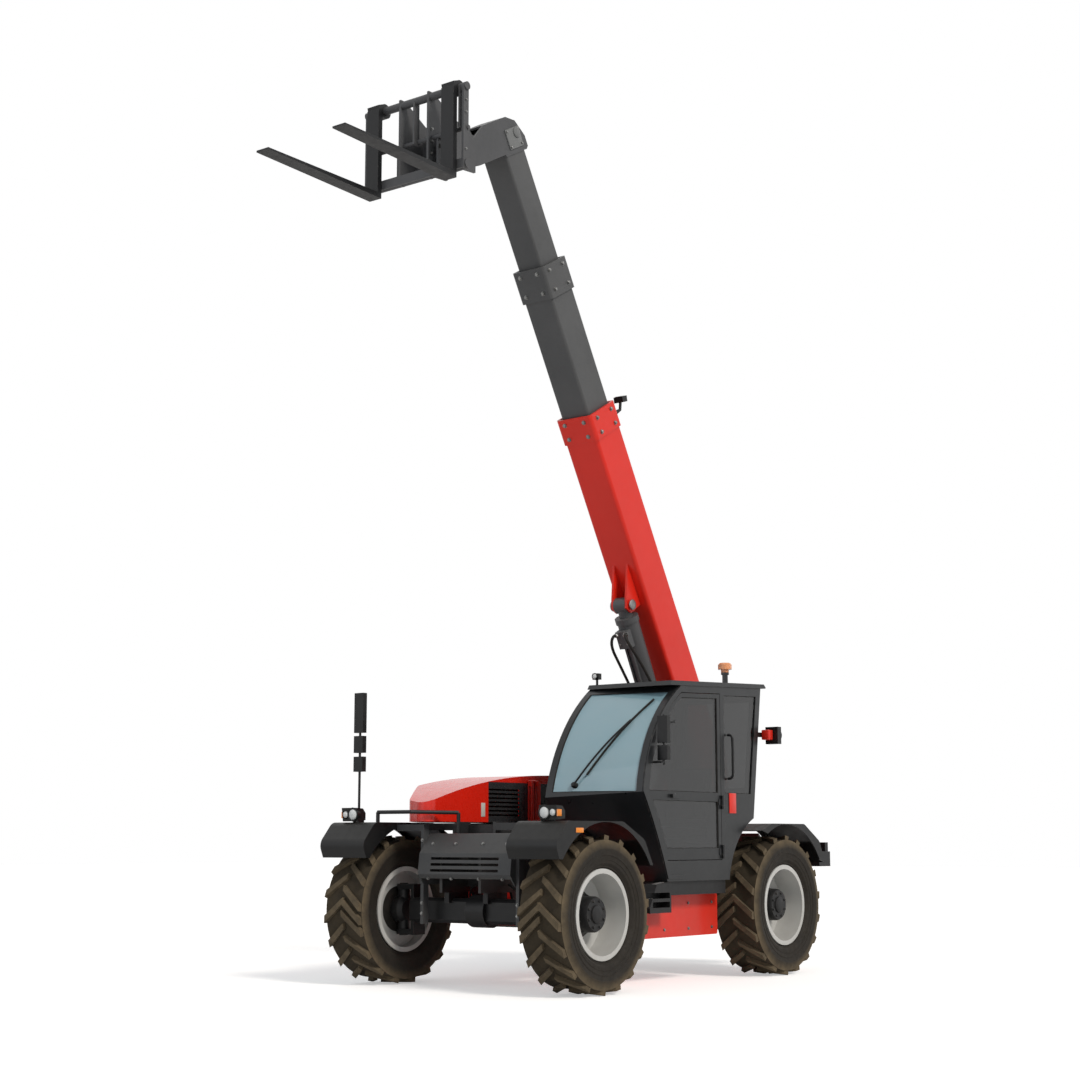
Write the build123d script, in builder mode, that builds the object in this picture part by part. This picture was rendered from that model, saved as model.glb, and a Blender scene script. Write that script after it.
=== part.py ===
from build123d import *
import math
import os

os.makedirs("parts", exist_ok=True)

# A telehandler, in millimetres: X runs forward, Y to the left and Z up.
# Everything is set out from the ground point midway between the axles.

# Wheels and steering
wheelbase = 2650
track = 1920
tyre_radius = 580
tyre_width = 405
tread_radius = 542
lug_count = 18
lug_reach = 108
bead_radius = 306
rim_radius = 305
rim_wall = 8
rim_half = 165
flange_radius = 333
disc_thickness = 14
disc_offset = -76
hub_radius = 128
hub_flange = 168
hub_cap = 62
spindle_radius = 55
kingpin_y = 820
kingpin_radius = 34
knuckle_radius = 108

# Boom
boom_angle = 60
pivot_behind_axle = 525
pivot_z = 1850
boom_y = -80
pivot_pin = 45
pivot_boss = 92
base_rear = -250
base_end = 3420
lift_eye_u = base_end / 2
base_height = 400
base_width = 340
base_wall = 10
collar_length = 230
collar_wall = 14
mid_end = base_end + 1330
mid_rear = base_end - 1900
mid_height = 350
mid_width = 290
mid_wall = 9
mid_collar_length = 280
inner_end = mid_end + 950
inner_rear = mid_end - 1800
inner_height = 290
inner_width = 244
inner_wall = 8
pad_length = 150
extend_back = 0.95
extend_out = 1.2

# Boom head, coupler and forks
neck_depth = 310
neck_top = 190
neck_front_low = -330
head_width = 260
head_plate = 20
carriage_pin_u = inner_end + 110
carriage_pin_v = -690
carriage_pin = 32
lever = 140
lever_angle = 44
coupler_gap = 7
coupler_plate = 20
frame_front = 500
frame_half = 515
shaft_radius = 32
shaft_up = 363
fork_top = -335
fork_thickness = 45
fork_width = 125
fork_length = 1200
fork_spacing = 780

# Lift and tilt cylinders
lift_eye_v = -345
lift_foot_z = 950
lift_tube = 95
lift_rod_radius = 50
lift_length = 1640
lift_pin = 32
eye_width = 120
tilt_eye_u = inner_end + 160
tilt_eye_v = 70
tilt_tube = 52
tilt_rod_radius = 28
tilt_length = 500
tilt_pin = 25
tilt_eye_width = 80

# Chassis
plate = 25
plate_gap = 360
chassis_top = 1000
chassis_low = 450
axle_height = 580
axle_half_height = 95
axle_seat = 720
rear_overhang = 230
hitch_radius = 16
hitch_length = 130
hitch_low = 560
bumper_width = 2040

# Cab
cab_left = 1030
cab_right = 240
cab_floor = 800
cab_wall = 45
sill_z = 1500
door_gap = 6
door_thickness = 40
pillar_depth = 12
hinge_out = 14
hinge_radius = 12
hinge_heights = (1000, 1400)
glass = 6

# Front cover
cover_right = -420
cover_left = 490

# Seat and steering
seat_low = 1100

# Bonnet
bonnet_in = -335
bonnet_length = 2340
bonnet_low = 1262
bonnet_hinge_y = bonnet_in + 12
bonnet_hinge_z = 1600
bonnet_hinges = (-520, 260)

# Clearances
fit = 0.3
slip = 0.5

front_axle_x = wheelbase / 2
rear_axle_x = -wheelbase / 2
pivot_x = rear_axle_x - pivot_behind_axle
lift_foot_x = pivot_x
chassis_rear = pivot_x - 250
rear_end = chassis_rear - rear_overhang
hitch_x = rear_end + 35
post_x = rear_axle_x + 835
seat_front = post_x + 320
dash_x = front_axle_x - 1085
mirror_x = post_x + 960
angle = math.radians(boom_angle)
boom_dir = Vector(math.cos(angle), 0, math.sin(angle))
boom_up = Vector(-math.sin(angle), 0, math.cos(angle))
pin_drop = Vector(pivot_x, boom_y, pivot_z) + boom_dir * carriage_pin_u + boom_up * carriage_pin_v
fork_tip = pin_drop.X + frame_front + 6 + fork_thickness + fork_length
mid_x = -(fork_tip + rear_end) / 2


def at(x, y, z):
    return Vector(mid_x + x, y, z)


def side(y):
    """Side view at y, with X forward and Z up; a positive extrusion runs to the right."""
    return Plane(origin=at(0, y, 0), x_dir=(1, 0, 0), z_dir=(0, -1, 0))


def level(z):
    return Plane(origin=at(0, 0, z), x_dir=(1, 0, 0), z_dir=(0, 0, 1))


def cross(x):
    """Front view at x, with Y to the left and Z up; a positive extrusion runs forward."""
    return Plane(origin=at(x, 0, 0), x_dir=(0, 1, 0), z_dir=(1, 0, 0))


def slab(points, y0, y1, mode=Mode.ADD):
    """A plate with a side-view outline, between two values of y."""
    with BuildSketch(side(y1)) as outline:
        with BuildLine():
            Polyline(*points, close=True)
        make_face()
    extrude(outline.sketch, amount=y1 - y0, mode=mode)


def block(x0, x1, y0, y1, z0, z1, mode=Mode.ADD):
    slab([(x0, z0), (x1, z0), (x1, z1), (x0, z1)], y0, y1, mode)


def rod_y(x, z, y0, y1, radius, mode=Mode.ADD):
    with BuildSketch(side(y1)) as disc:
        with Locations((x, z)):
            Circle(radius)
    extrude(disc.sketch, amount=y1 - y0, mode=mode)


def rod_z(x, y, z0, z1, radius, mode=Mode.ADD):
    with BuildSketch(level(z0)) as disc:
        with Locations((x, y)):
            Circle(radius)
    extrude(disc.sketch, amount=z1 - z0, mode=mode)


def rod_x(x0, x1, y, z, radius, mode=Mode.ADD):
    with BuildSketch(cross(x0)) as disc:
        with Locations((y, z)):
            Circle(radius)
    extrude(disc.sketch, amount=x1 - x0, mode=mode)


def finish(part, name):
    part.label = name
    export_step(part, f"parts/{name}.step")


boom_pivot = at(pivot_x, boom_y, pivot_z)


def boom_side(w):
    """The boom seen from its right side at offset w: X along the boom, Y to its upper side."""
    return Plane(origin=boom_pivot + Vector(0, w, 0), x_dir=boom_dir, z_dir=(0, -1, 0))


def boom_cut(u):
    """A cross-section of the boom at the distance u from its pivot."""
    return Plane(origin=boom_pivot + boom_dir * u, x_dir=(0, 1, 0), z_dir=boom_dir)


def boom_slab(points, w0, w1, mode=Mode.ADD):
    with BuildSketch(boom_side(w1)) as outline:
        with BuildLine():
            Polyline(*points, close=True)
        make_face()
    extrude(outline.sketch, amount=w1 - w0, mode=mode)


def boom_rod(u, v, w0, w1, radius, mode=Mode.ADD):
    with BuildSketch(boom_side(w1)) as disc:
        with Locations((u, v)):
            Circle(radius)
    extrude(disc.sketch, amount=w1 - w0, mode=mode)


def box_tube(start, end, width, height, wall, corner):
    with BuildSketch(boom_cut(start)) as section:
        RectangleRounded(width, height, corner)
        RectangleRounded(width - 2 * wall, height - 2 * wall, corner - wall / 2, mode=Mode.SUBTRACT)
    extrude(section.sketch, amount=end - start)


def pads(start, width, height, gap_w, gap_h, side_in):
    """Four wear pads round a section, on its outside or inside a larger one."""
    w = width / 2 + (gap_w + fit) / 2 if side_in else width / 2 + (gap_w - fit) / 2
    h = height / 2 + (gap_h + fit) / 2 if side_in else height / 2 + (gap_h - fit) / 2
    with BuildSketch(boom_cut(start)) as section:
        with Locations((w, 0), (-w, 0)):
            Rectangle(gap_w - fit, height * 0.6)
        with Locations((0, h), (0, -h)):
            Rectangle(width * 0.6, gap_h - fit)
    extrude(section.sketch, amount=pad_length)


# Chassis: two tall plates with the boom and its cylinder between them
plate_left = boom_y + plate_gap / 2
plate_right = boom_y - plate_gap / 2
notch = 190
arm_z = 690
box_out = 880
box_rear = rear_axle_x + 685
box_front = front_axle_x - 765
cab_arms = (box_rear + 220, box_front - 380)
tray_rear = box_rear
tray_front = box_front
tray_out = -962
bump = front_axle_x + 15
with BuildPart() as chassis_frame:
    with BuildSketch(side(plate_left + plate)) as outline:
        with BuildLine():
            rear_notch = (rear_axle_x - notch, axle_seat)
            Polyline((chassis_rear, chassis_low + 50), (chassis_rear, 1350), (pivot_x - 200, pivot_z))
            ThreePointArc(
                (pivot_x - 200, pivot_z), (pivot_x, pivot_z + 200), (pivot_x + 200, pivot_z)
            )
            Polyline(
                (pivot_x + 200, pivot_z),
                (rear_axle_x + 75, 1340),
                (rear_axle_x + 175, 1270),
                (rear_axle_x + 625, chassis_top + 40),
                (bump - 340, chassis_top),
                (bump - 160, 1260),
                (bump, 1260),
                (bump, 1150),
                (front_axle_x + notch, 1000),
                (front_axle_x + notch, axle_seat),
                (front_axle_x - notch, axle_seat),
                (front_axle_x - notch - 90, chassis_low),
                (rear_axle_x + notch + 90, chassis_low),
                (rear_axle_x + notch, axle_seat),
                rear_notch,
                (rear_axle_x - notch, chassis_low + 50),
                (chassis_rear, chassis_low + 50),
            )
        make_face()
    extrude(outline.sketch, amount=plate)
    extrude(
        outline.sketch.moved(Location((0, -plate_gap - plate, 0))), amount=plate
    )
    belly = (rear_axle_x + notch + 90, front_axle_x - notch - 90)
    block(belly[0], belly[1], plate_right, plate_left, chassis_low, chassis_low + 12)
    block(chassis_rear, chassis_rear + plate, plate_right, plate_left, chassis_low + 50, 1300)
    block(bump - 160, bump - 160 + plate, plate_right, plate_left, 760, 1240)
    block(chassis_rear + plate, lift_foot_x + 210, plate_right, plate_left, axle_seat, axle_seat + 30)
    for ear in (eye_width / 2 + 2, -eye_width / 2 - 2 - plate):
        slab(
            [
                (lift_foot_x - 150, axle_seat + 30),
                (lift_foot_x + 150, axle_seat + 30),
                (lift_foot_x + 70, lift_foot_z + 50),
                (lift_foot_x - 70, lift_foot_z + 50),
            ],
            boom_y + ear,
            boom_y + ear + plate,
        )
    rod_y(pivot_x, pivot_z, plate_right - plate - 22, plate_left + plate + 22, pivot_pin)
    for y0 in (plate_left + plate, plate_right - plate - 16):
        rod_y(pivot_x, pivot_z, y0, y0 + 16, 85)
    for x in (rear_axle_x - 150, rear_axle_x + 125):
        block(x, x + 25, plate_right, plate_left, 450, axle_seat + 30)
        rod_x(x, x + 25, 0, axle_height, 50 + fit, Mode.SUBTRACT)
    for x in cab_arms:
        block(x, x + 90, plate_left + plate, box_out, arm_z, cab_floor - 25)
    block(tray_rear, tray_front, tray_out, plate_right - plate, 520, 550)
    for x in (tray_rear, tray_front - 20):
        block(x, x + 20, tray_out, plate_right - plate, 550, 760)
    for y0, y1 in ((plate_left + plate, 770), (-770, plate_right - plate)):
        block(rear_axle_x - 35, rear_axle_x + 35, y0, y1, 1195, 1251 - fit)
        block(bump - 50, bump, y0, y1, 1195, 1251 - fit)
    for x in bonnet_hinges:
        for x0, x1 in ((x - 30, x - fit), (x + 60 + fit, x + 90)):
            rod_x(x0, x1, bonnet_hinge_y, bonnet_hinge_z, 10)
            block(x0, x1, bonnet_hinge_y - 4, plate_right - plate, bonnet_hinge_z - 40, bonnet_hinge_z)
            block(x0, x1, bonnet_hinge_y - 4, bonnet_hinge_y + 6, 1000, bonnet_hinge_z)
            block(x0, x1, plate_right - plate - 10, plate_right - plate, 900, bonnet_hinge_z)
        rod_x(x - 30, x + 90, bonnet_hinge_y, bonnet_hinge_z, 5)
finish(chassis_frame.part, "chassis_frame")

with BuildPart() as side_box:
    top = arm_z - fit
    nose = box_front + 70
    slab(
        [
            (box_rear, 360),
            (box_front, 360),
            (nose, 460),
            (nose, 600),
            (box_front, 640),
            (box_front, top),
            (box_rear, top),
        ],
        500,
        box_out,
    )
    fillet(side_box.part.edges().filter_by(Axis.Y), 20)
finish(side_box.part, "side_box")

# The sill under the door, with a tread at its front end
with BuildPart() as cab_step:
    block(box_rear + 60, box_front - 320, box_out + fit, cab_left - 30, arm_z + 2, cab_floor - fit)
    slab(
        [
            (box_front - 320, 560),
            (box_front - 20, 560),
            (box_front - 20, 600),
            (box_front - 120, arm_z + 90),
            (box_front - 320, cab_floor - fit),
        ],
        box_out + fit,
        cab_left - 20,
    )
    for z in (600, 670):
        block(box_front - 300, box_front - 60, box_out + 40, cab_left, z, z + 45, Mode.SUBTRACT)
finish(cab_step.part, "cab_step")

# Front cover between the wheels, with the brackets that carry the fenders
with BuildPart() as front_cover:
    back = bump + fit
    slab(
        [
            (back, 780),
            (bump + 220, 780),
            (bump + 280, 860),
            (bump + 260, 1020),
            (bump + 140, 1170),
            (back, 1170),
        ],
        cover_right,
        cover_left,
    )
    fillet(front_cover.part.edges().filter_by(Axis.Y).sort_by(Axis.X)[2:], 15)
    slab(
        [
            (bump - 40, 700),
            (bump + 212, 700),
            (bump + 268, 862),
            (bump + 248, 1016),
            (bump + 134, 1158),
            (bump - 40, 1158),
        ],
        cover_right + 12,
        cover_left - 12,
        Mode.SUBTRACT,
    )
    for z in (880, 925, 970):
        block(bump + 240, bump + 320, cover_right + 120, cover_left - 120, z, z + 20, Mode.SUBTRACT)
    for y0, y1, arm0, arm1 in (
        (cover_right - 30, cover_right, fit - 700, cover_right),
        (cover_left, cover_left + 30, cover_left, 700 - fit),
    ):
        block(bump + 150, bump + 210, y0, y1, 480, 1240)
        block(bump + 150, bump + 210, arm0, arm1, 1190, 1240)
finish(front_cover.part, "front_cover")

with BuildPart() as counterweight:
    slab(
        [
            (rear_end + 70, 520),
            (chassis_rear - fit, 480),
            (chassis_rear - fit, 1180),
            (rear_end + 90, 1080),
        ],
        -500,
        420,
    )
    fillet(counterweight.part.edges().filter_by(Axis.Y).sort_by(Axis.X)[:2], 40)
    block(rear_end, rear_end + 85, -60, 60, hitch_low, hitch_low + hitch_length)
    rod_z(hitch_x, 0, hitch_low - 10, hitch_low + hitch_length + 10, hitch_radius, Mode.SUBTRACT)
    half = bumper_width / 2
    for y0, y1 in ((-half, -500), (420, half)):
        block(rear_end, chassis_rear - 30, y0, y1, 890, 1020)
finish(counterweight.part, "counterweight")


# Axles, with a fork at each end for the knuckle's kingpin
def axle(name, x, rear):
    with BuildPart() as beam:
        web = kingpin_y - 135
        slab(
            [
                (x - 85, axle_height - 70),
                (x - 60, axle_height - axle_half_height),
                (x + 60, axle_height - axle_half_height),
                (x + 85, axle_height - 70),
                (x + 85, axle_height + 70),
                (x + 60, axle_height + axle_half_height),
                (x - 60, axle_height + axle_half_height),
                (x - 85, axle_height + 70),
            ],
            -web,
            web,
        )
        with BuildSketch(side(90)) as housing:
            with Locations((x, axle_height)):
                Circle(125)
        extrude(housing.sketch, amount=180)
        for s in (1, -1):
            y0, y1 = sorted((s * (web - 30), s * web))
            block(x - 70, x + 70, y0, y1, axle_height - 196, axle_height + 196)
            lug0, lug1 = sorted((s * web, s * kingpin_y))
            for z0 in (axle_height + 156, axle_height - 196):
                block(x - 55, x + 55, lug0, lug1, z0, z0 + 40)
                rod_z(x, s * kingpin_y, z0, z0 + 40, 55)
                rod_z(x, s * kingpin_y, z0, z0 + 40, kingpin_radius + fit, Mode.SUBTRACT)
        if rear:
            rod_x(x - 160, x + 160, 0, axle_height, 50)
        else:
            for y0 in (plate_left - 10, plate_right - plate - 10):
                block(x - 120, x + 120, y0, y0 + 45, axle_height + 60, axle_seat)
    finish(beam.part, name)


axle("front_axle", front_axle_x, False)
axle("rear_axle", rear_axle_x, True)


# Tyre: a casing with two staggered rows of slanted lugs, drawn round the X axis
half = tyre_width / 2
bead = rim_half - 15
lug_top = math.sqrt(tyre_radius**2 - lug_reach**2)
lug_lean = math.degrees(math.atan2(lug_reach, lug_top))
with BuildPart() as lug:
    with BuildSketch(Plane.XY.offset(lug_top)):
        with BuildLine():
            Polyline((-6, 92), (-6, 46), (half - 20, -lug_reach), (half - 20, -50), close=True)
        make_face()
    extrude(amount=tread_radius - lug_top - 12)
with BuildPart() as casing:
    with BuildSketch(Plane.XY):
        with BuildLine():
            Polyline(
                (-bead, bead_radius),
                (bead, bead_radius),
                (bead, flange_radius + 4),
                (half - 18, flange_radius + 40),
                (half, tread_radius - 62),
                (half - 16, tread_radius),
                (16 - half, tread_radius),
                (-half, tread_radius - 62),
                (18 - half, flange_radius + 40),
                (-bead, flange_radius + 4),
                close=True,
            )
        make_face()
    revolve(axis=Axis.X)
    pitch = 360 / lug_count
    other_lug = mirror(lug.part, about=Plane.YZ)
    for i in range(lug_count):
        add(lug.part.rotate(Axis.X, i * pitch + 90 - lug_lean))
        add(other_lug.rotate(Axis.X, (i + 0.5) * pitch + 90 - lug_lean))
lugged_tyre = casing.part


# Knuckle, rim and tyre of one wheel; their sections run outward from the wheel's middle plane
def wheel(name, x, s):
    centre = at(x, s * track / 2, axle_height)
    outward = Plane(origin=centre, x_dir=(0, s, 0), z_dir=(s, 0, 0))
    spin = Axis(centre, (0, 1, 0))
    pin = kingpin_y - track / 2
    with BuildPart() as knuckle:
        with BuildSketch(outward):
            with BuildLine():
                Polyline(
                    (pin - 50, 0),
                    (pin - 50, knuckle_radius - 30),
                    (pin - 20, knuckle_radius),
                    (-93, knuckle_radius),
                    (-93, spindle_radius),
                    (10, spindle_radius),
                    (10, 0),
                    close=True,
                )
            make_face()
        revolve(axis=spin)
        rod_z(x, s * kingpin_y, axle_height - 154, axle_height + 154, 48)
        rod_z(x, s * kingpin_y, axle_height - 204, axle_height + 204, kingpin_radius)
    finish(knuckle.part, f"knuckle_{name}")

    with BuildPart() as rim:
        with BuildSketch(outward):
            with BuildLine():
                inside = rim_radius - rim_wall
                disc_out = disc_offset + disc_thickness
                Polyline(
                    (-rim_half, inside),
                    (disc_offset, inside),
                    (disc_offset, hub_flange),
                    (-88, hub_radius),
                    (-88, spindle_radius + fit),
                    (12, spindle_radius + fit),
                    (12, 0),
                    (hub_cap, 0),
                    (hub_cap, 70),
                    (hub_cap - 12, 95),
                    (hub_cap - 40, 95),
                    (hub_cap - 48, hub_radius),
                    (disc_out + 16, hub_radius),
                    (disc_out + 16, hub_flange),
                    (disc_out, hub_flange),
                    (disc_out, inside),
                    (rim_half, inside),
                    (rim_half, flange_radius),
                    (rim_half - 12, flange_radius),
                    (rim_half - 14, rim_radius),
                    (-rim_half + 14, rim_radius),
                    (-rim_half + 12, flange_radius),
                    (-rim_half, flange_radius),
                    close=True,
                )
            make_face()
        revolve(axis=spin)
    finish(rim.part, f"rim_{name}")

    tyre = lugged_tyre if s > 0 else mirror(lugged_tyre, about=Plane.XY)
    finish(outward.location * tyre, f"tyre_{name}")


for end, wheel_x in (("front", front_axle_x), ("rear", rear_axle_x)):
    for hand, sign in (("left", 1), ("right", -1)):
        wheel(f"{end}_{hand}", wheel_x, sign)


# Engine under the bonnet, on the right
with BuildPart() as engine:
    block(tray_rear + 210, tray_front - 30, -850, -430, 550 + fit, 1230)
    chamfer(engine.part.edges().filter_by(Axis.X), 60)
finish(engine.part, "engine")

# Fenders: moulded pans with a flat top, closed at both sides round the wheel's arch
fender_sheet = 6
fender_in = 700
fender_out = 1160
arch_radius = 672


def fender(x, points, s):
    """A sheet bent along a side-view line, and a side plate on each edge cut to the arch."""
    outline = [(x + dx, z) for dx, z in points]
    y0, y1 = sorted((s * fender_in, s * fender_out))
    with BuildSketch(side(y1)) as strip:
        with BuildLine() as line:
            FilletPolyline(*outline, radius=80)
        trace(line.line, fender_sheet)
    extrude(strip.sketch, amount=y1 - y0)
    with BuildSketch(side(y1)) as plates:
        with BuildLine():
            FilletPolyline(*outline, radius=80)
            Line(outline[-1], outline[0])
        make_face()
        with Locations((x, axle_height)):
            Circle(arch_radius, mode=Mode.SUBTRACT)
    for y in (y0 + fender_plate, y1):
        extrude(plates.sketch.moved(Location((0, y - y1, 0))), amount=fender_plate)


fender_plate = 12
with BuildPart() as front_fenders:
    for s in (1, -1):
        fender(front_axle_x, [(575, 985), (620, 1090), (480, 1254), (-220, 1254), (-500, 1120), (-610, 930)], s)
finish(front_fenders.part, "front_fenders")

with BuildPart() as rear_fenders:
    for s in (1, -1):
        fender(rear_axle_x, [(400, 1195), (240, 1254), (-300, 1254), (-560, 1110), (-650, 930)], s)
finish(rear_fenders.part, "rear_fenders")

# Cab: a hollow shell lofted between its left and right outlines
cab_front_left = (
    (front_axle_x - 1215, 2346),
    (front_axle_x - 820, 1955),
    (front_axle_x - 665, 1490),
)
cab_front_right = (
    (front_axle_x - 1075, 2340),
    (front_axle_x - 680, 1950),
    (front_axle_x - 465, 1450),
)
cab_toe_left = (front_axle_x - 855, 1150)
cab_toe_right = (front_axle_x - 725, 1120)
cab_toe = front_axle_x - 1005
cab_heel = rear_axle_x + 725
cab_back = rear_axle_x + 175
arch_end = (rear_axle_x + 325, 1300)


def cab_outline(front, toe, inset):
    with BuildSketch(Plane.XY, mode=Mode.PRIVATE) as outline:
        with BuildLine():
            ThreePointArc(*front)
            ThreePointArc(front[2], toe, (cab_toe, cab_floor))
            Line((cab_toe, cab_floor), (cab_heel, cab_floor))
            ThreePointArc((cab_heel, cab_floor), (rear_axle_x + 605, 1085), arch_end)
            Line(arch_end, (cab_back, 2400))
            Line((cab_back, 2400), front[0])
        make_face()
        if inset:
            offset(amount=-inset, kind=Kind.INTERSECTION, mode=Mode.REPLACE)
    return outline.sketch


def cab_form(inset, mode=Mode.ADD):
    left = side(cab_left - inset) * cab_outline(cab_front_left, cab_toe_left, inset)
    right = side(cab_right + inset) * cab_outline(cab_front_right, cab_toe_right, inset)
    loft([left, right], ruled=True, mode=mode)


def cab_window(y, front, toe, inset, x0, x1, z0, z1, depth, mode):
    """A side opening: the cab's outline drawn in by an inset, cut to a rectangle."""
    with BuildSketch(side(y)) as opening:
        add(cab_outline(front, toe, inset))
        with Locations(((x0 + x1) / 2, (z0 + z1) / 2)):
            Rectangle(x1 - x0, z1 - z0, mode=Mode.INTERSECT)
    extrude(opening.sketch, amount=depth, mode=mode)


left_side = (cab_left, cab_front_left, cab_toe_left)
right_side = (cab_right + cab_wall, cab_front_right, cab_toe_right)
far = front_axle_x
screen = (front_axle_x - 1265, cab_right + 50, cab_left - 50, sill_z - 10, 2292)
back = (cab_back - 50, cab_right + 70, cab_left - 80, sill_z + 50, 2290)
quarter = (70, cab_back + 50, post_x - 60, sill_z, 2400)
right_pane = (70, cab_back + 190, front_axle_x - 605, sill_z, 2290)
door_low = 965
door_upper = (95, post_x + 50, far, sill_z, 2400)
door_lower = (95, post_x + 50, far, door_low + 90, sill_z - 70)


def shrink(opening, gap):
    """The same window outline with a gap all round for its glass."""
    inset, x0, x1, z0, z1 = opening
    return inset + gap, x0 + gap, x1 - gap, z0 + gap, z1 - gap


with BuildPart() as cab_shell:
    cab_form(0)
    cab_form(cab_wall, Mode.SUBTRACT)
    block(screen[0], far, screen[1], screen[2], screen[3], screen[4], Mode.SUBTRACT)
    block(back[0], cab_back + 450, back[1], back[2], back[3], back[4], Mode.SUBTRACT)
    cab_window(*right_side, *right_pane, cab_wall, Mode.SUBTRACT)
    cab_window(*left_side, 55, post_x, far, door_low - door_gap, 2400, cab_wall, Mode.SUBTRACT)
    cab_window(*left_side, *quarter, cab_wall, Mode.SUBTRACT)
    with BuildSketch(side(cab_left + pillar_depth)) as pillar:
        add(cab_outline(cab_front_left, cab_toe_left, 4))
        add(cab_outline(cab_front_left, cab_toe_left, 48), mode=Mode.SUBTRACT)
        with Locations((far + screen[0], 1600)):
            Rectangle(2 * far, 1560, mode=Mode.INTERSECT)
    extrude(pillar.sketch, amount=pillar_depth + 5)
    block(seat_front - 400, seat_front - 20, 380, 880, cab_floor + cab_wall, seat_low)
    for x in cab_arms:
        block(x, x + 90, 300, 870, cab_floor - 25 + fit, cab_floor)
    for z in hinge_heights:
        for z0, z1 in ((z - 30, z - fit), (z + 50 + fit, z + 80)):
            block(post_x - 80, post_x, cab_left, cab_left + 6, z0, z1)
            rod_z(post_x, cab_left + hinge_out, z0, z1, hinge_radius)
        rod_z(post_x, cab_left + hinge_out, z - 30, z + 80, 5)
finish(cab_shell.part, "cab_shell")


def pane(x0, x1, y0, y1, z0, z1, low, high):
    """Glass that follows the cab's skin between two insets, inside a box."""
    with BuildPart() as skin:
        cab_form(low)
        cab_form(high, Mode.SUBTRACT)
        block(x0, x1, y0, y1, z0, z1, Mode.INTERSECT)
    return skin.part


with BuildPart() as windscreen:
    add(pane(screen[0] + slip, far, screen[1] + slip, screen[2] - slip, screen[3] + slip,
             screen[4] - slip, 10, 10 + glass))
finish(windscreen.part, "windscreen")

with BuildPart() as cab_windows:
    add(pane(back[0], cab_back + 450, back[1] + slip, back[2] - slip, back[3] + slip,
             back[4] - slip, 10, 10 + glass))
    cab_window(cab_right + 16, *right_side[1:], *shrink(right_pane, slip), glass, Mode.ADD)
    cab_window(cab_left - 10, *left_side[1:], *shrink(quarter, slip), glass, Mode.ADD)
finish(cab_windows.part, "cab_windows")

# Roof: a thin tray that follows the cab's sloping top
roof_front = front_axle_x - 1055
roof_rear = cab_back - 90
roof_fall = (2400 - 2346) / (cab_front_left[0][0] - cab_back)


def roof_z(x, above):
    return 2346 + fit + above - (x - cab_front_left[0][0]) * roof_fall


with BuildPart() as cab_roof:
    slab(
        [
            (roof_rear, roof_z(roof_rear, 0)),
            (roof_front, roof_z(roof_front, 0)),
            (roof_front - 25, roof_z(roof_front - 25, 36)),
            (roof_rear + 40, roof_z(roof_rear + 40, 36)),
        ],
        cab_right - 12,
        cab_left + 14,
    )
    fillet(cab_roof.part.faces().sort_by(Axis.Z)[-1].edges(), 14)
finish(cab_roof.part, "cab_roof")

with BuildPart() as door_panel:
    cab_window(*left_side, 55 + door_gap, post_x + door_gap, far, door_low, 2400, door_thickness,
               Mode.ADD)
    for opening in (door_upper, door_lower):
        cab_window(*left_side, *opening, door_thickness, Mode.SUBTRACT)
    block(post_x + 640, post_x + 760, cab_left - 5, cab_left + 28, sill_z - 50, sill_z - 22)
    for z in hinge_heights:
        block(post_x, post_x + 45, cab_left - 1, cab_left + 6, z, z + 50)
        rod_z(post_x, cab_left + hinge_out, z, z + 50, hinge_radius)
        rod_z(post_x, cab_left + hinge_out, z, z + 50, 5 + fit, Mode.SUBTRACT)
finish(door_panel.part, "door_panel")

with BuildPart() as door_glass:
    for opening in (door_upper, door_lower):
        cab_window(cab_left - 10, *left_side[1:], *shrink(opening, slip), glass, Mode.ADD)
finish(door_glass.part, "door_glass")

with BuildPart() as door_mirror:
    arm_y = cab_left + 78
    rod_z(mirror_x, arm_y, 1700, 2090, 8)
    for z, strip_x in ((2040, mirror_x - 150), (1720, mirror_x + 36)):
        rod_y(strip_x, z, cab_left + fit, arm_y + 4, 8)
        x0, x1 = sorted((strip_x - 6, mirror_x))
        block(x0, x1, arm_y - 6, arm_y + 6, z - 6, z + 6)
    for z0, z1 in ((1870, 2080), (1735, 1850)):
        block(mirror_x - 22, mirror_x + 22, cab_left + 32, cab_left + 124, z0, z1)
finish(door_mirror.part, "door_mirror")

with BuildPart() as seat:
    seat_z = seat_low + fit
    slab(
        [
            (seat_front - 460, seat_z),
            (seat_front, seat_z),
            (seat_front + 20, seat_z + 90),
            (seat_front, seat_z + 130),
            (seat_front - 340, seat_z + 110),
            (seat_front - 440, seat_z + 640),
            (seat_front - 560, seat_z + 620),
        ],
        400,
        860,
    )
    fillet(seat.part.edges().filter_by(Axis.Y), 18)
finish(seat.part, "seat")

with BuildPart() as steering_column:
    low = cab_floor + cab_wall + fit
    slab(
        [
            (dash_x - 140, low),
            (dash_x, low),
            (dash_x + 90, 1020),
            (dash_x + 90, 1350),
            (dash_x, 1400),
            (dash_x - 60, 1330),
        ],
        560,
        720,
    )
    column = Plane(origin=at(dash_x - 25, 640, 1420), x_dir=(0, 1, 0), z_dir=(-0.5, 0, 0.866))
    with BuildSketch(column) as ring:
        Circle(190)
        Circle(160, mode=Mode.SUBTRACT)
        Rectangle(330, 40)
    extrude(ring.sketch, amount=26)
    with BuildSketch(column.offset(-60)) as boss:
        Circle(35)
    extrude(boss.sketch, amount=70)
finish(steering_column.part, "steering_column")

# Bonnet: a lid hinged along its inboard top edge, with louvres in its inboard side
bonnet_out = -965
bonnet_sheet = 8
bonnet_rear = rear_axle_x + 625
bonnet_front = bonnet_rear + bonnet_length
louvre_pitch = 34


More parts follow.
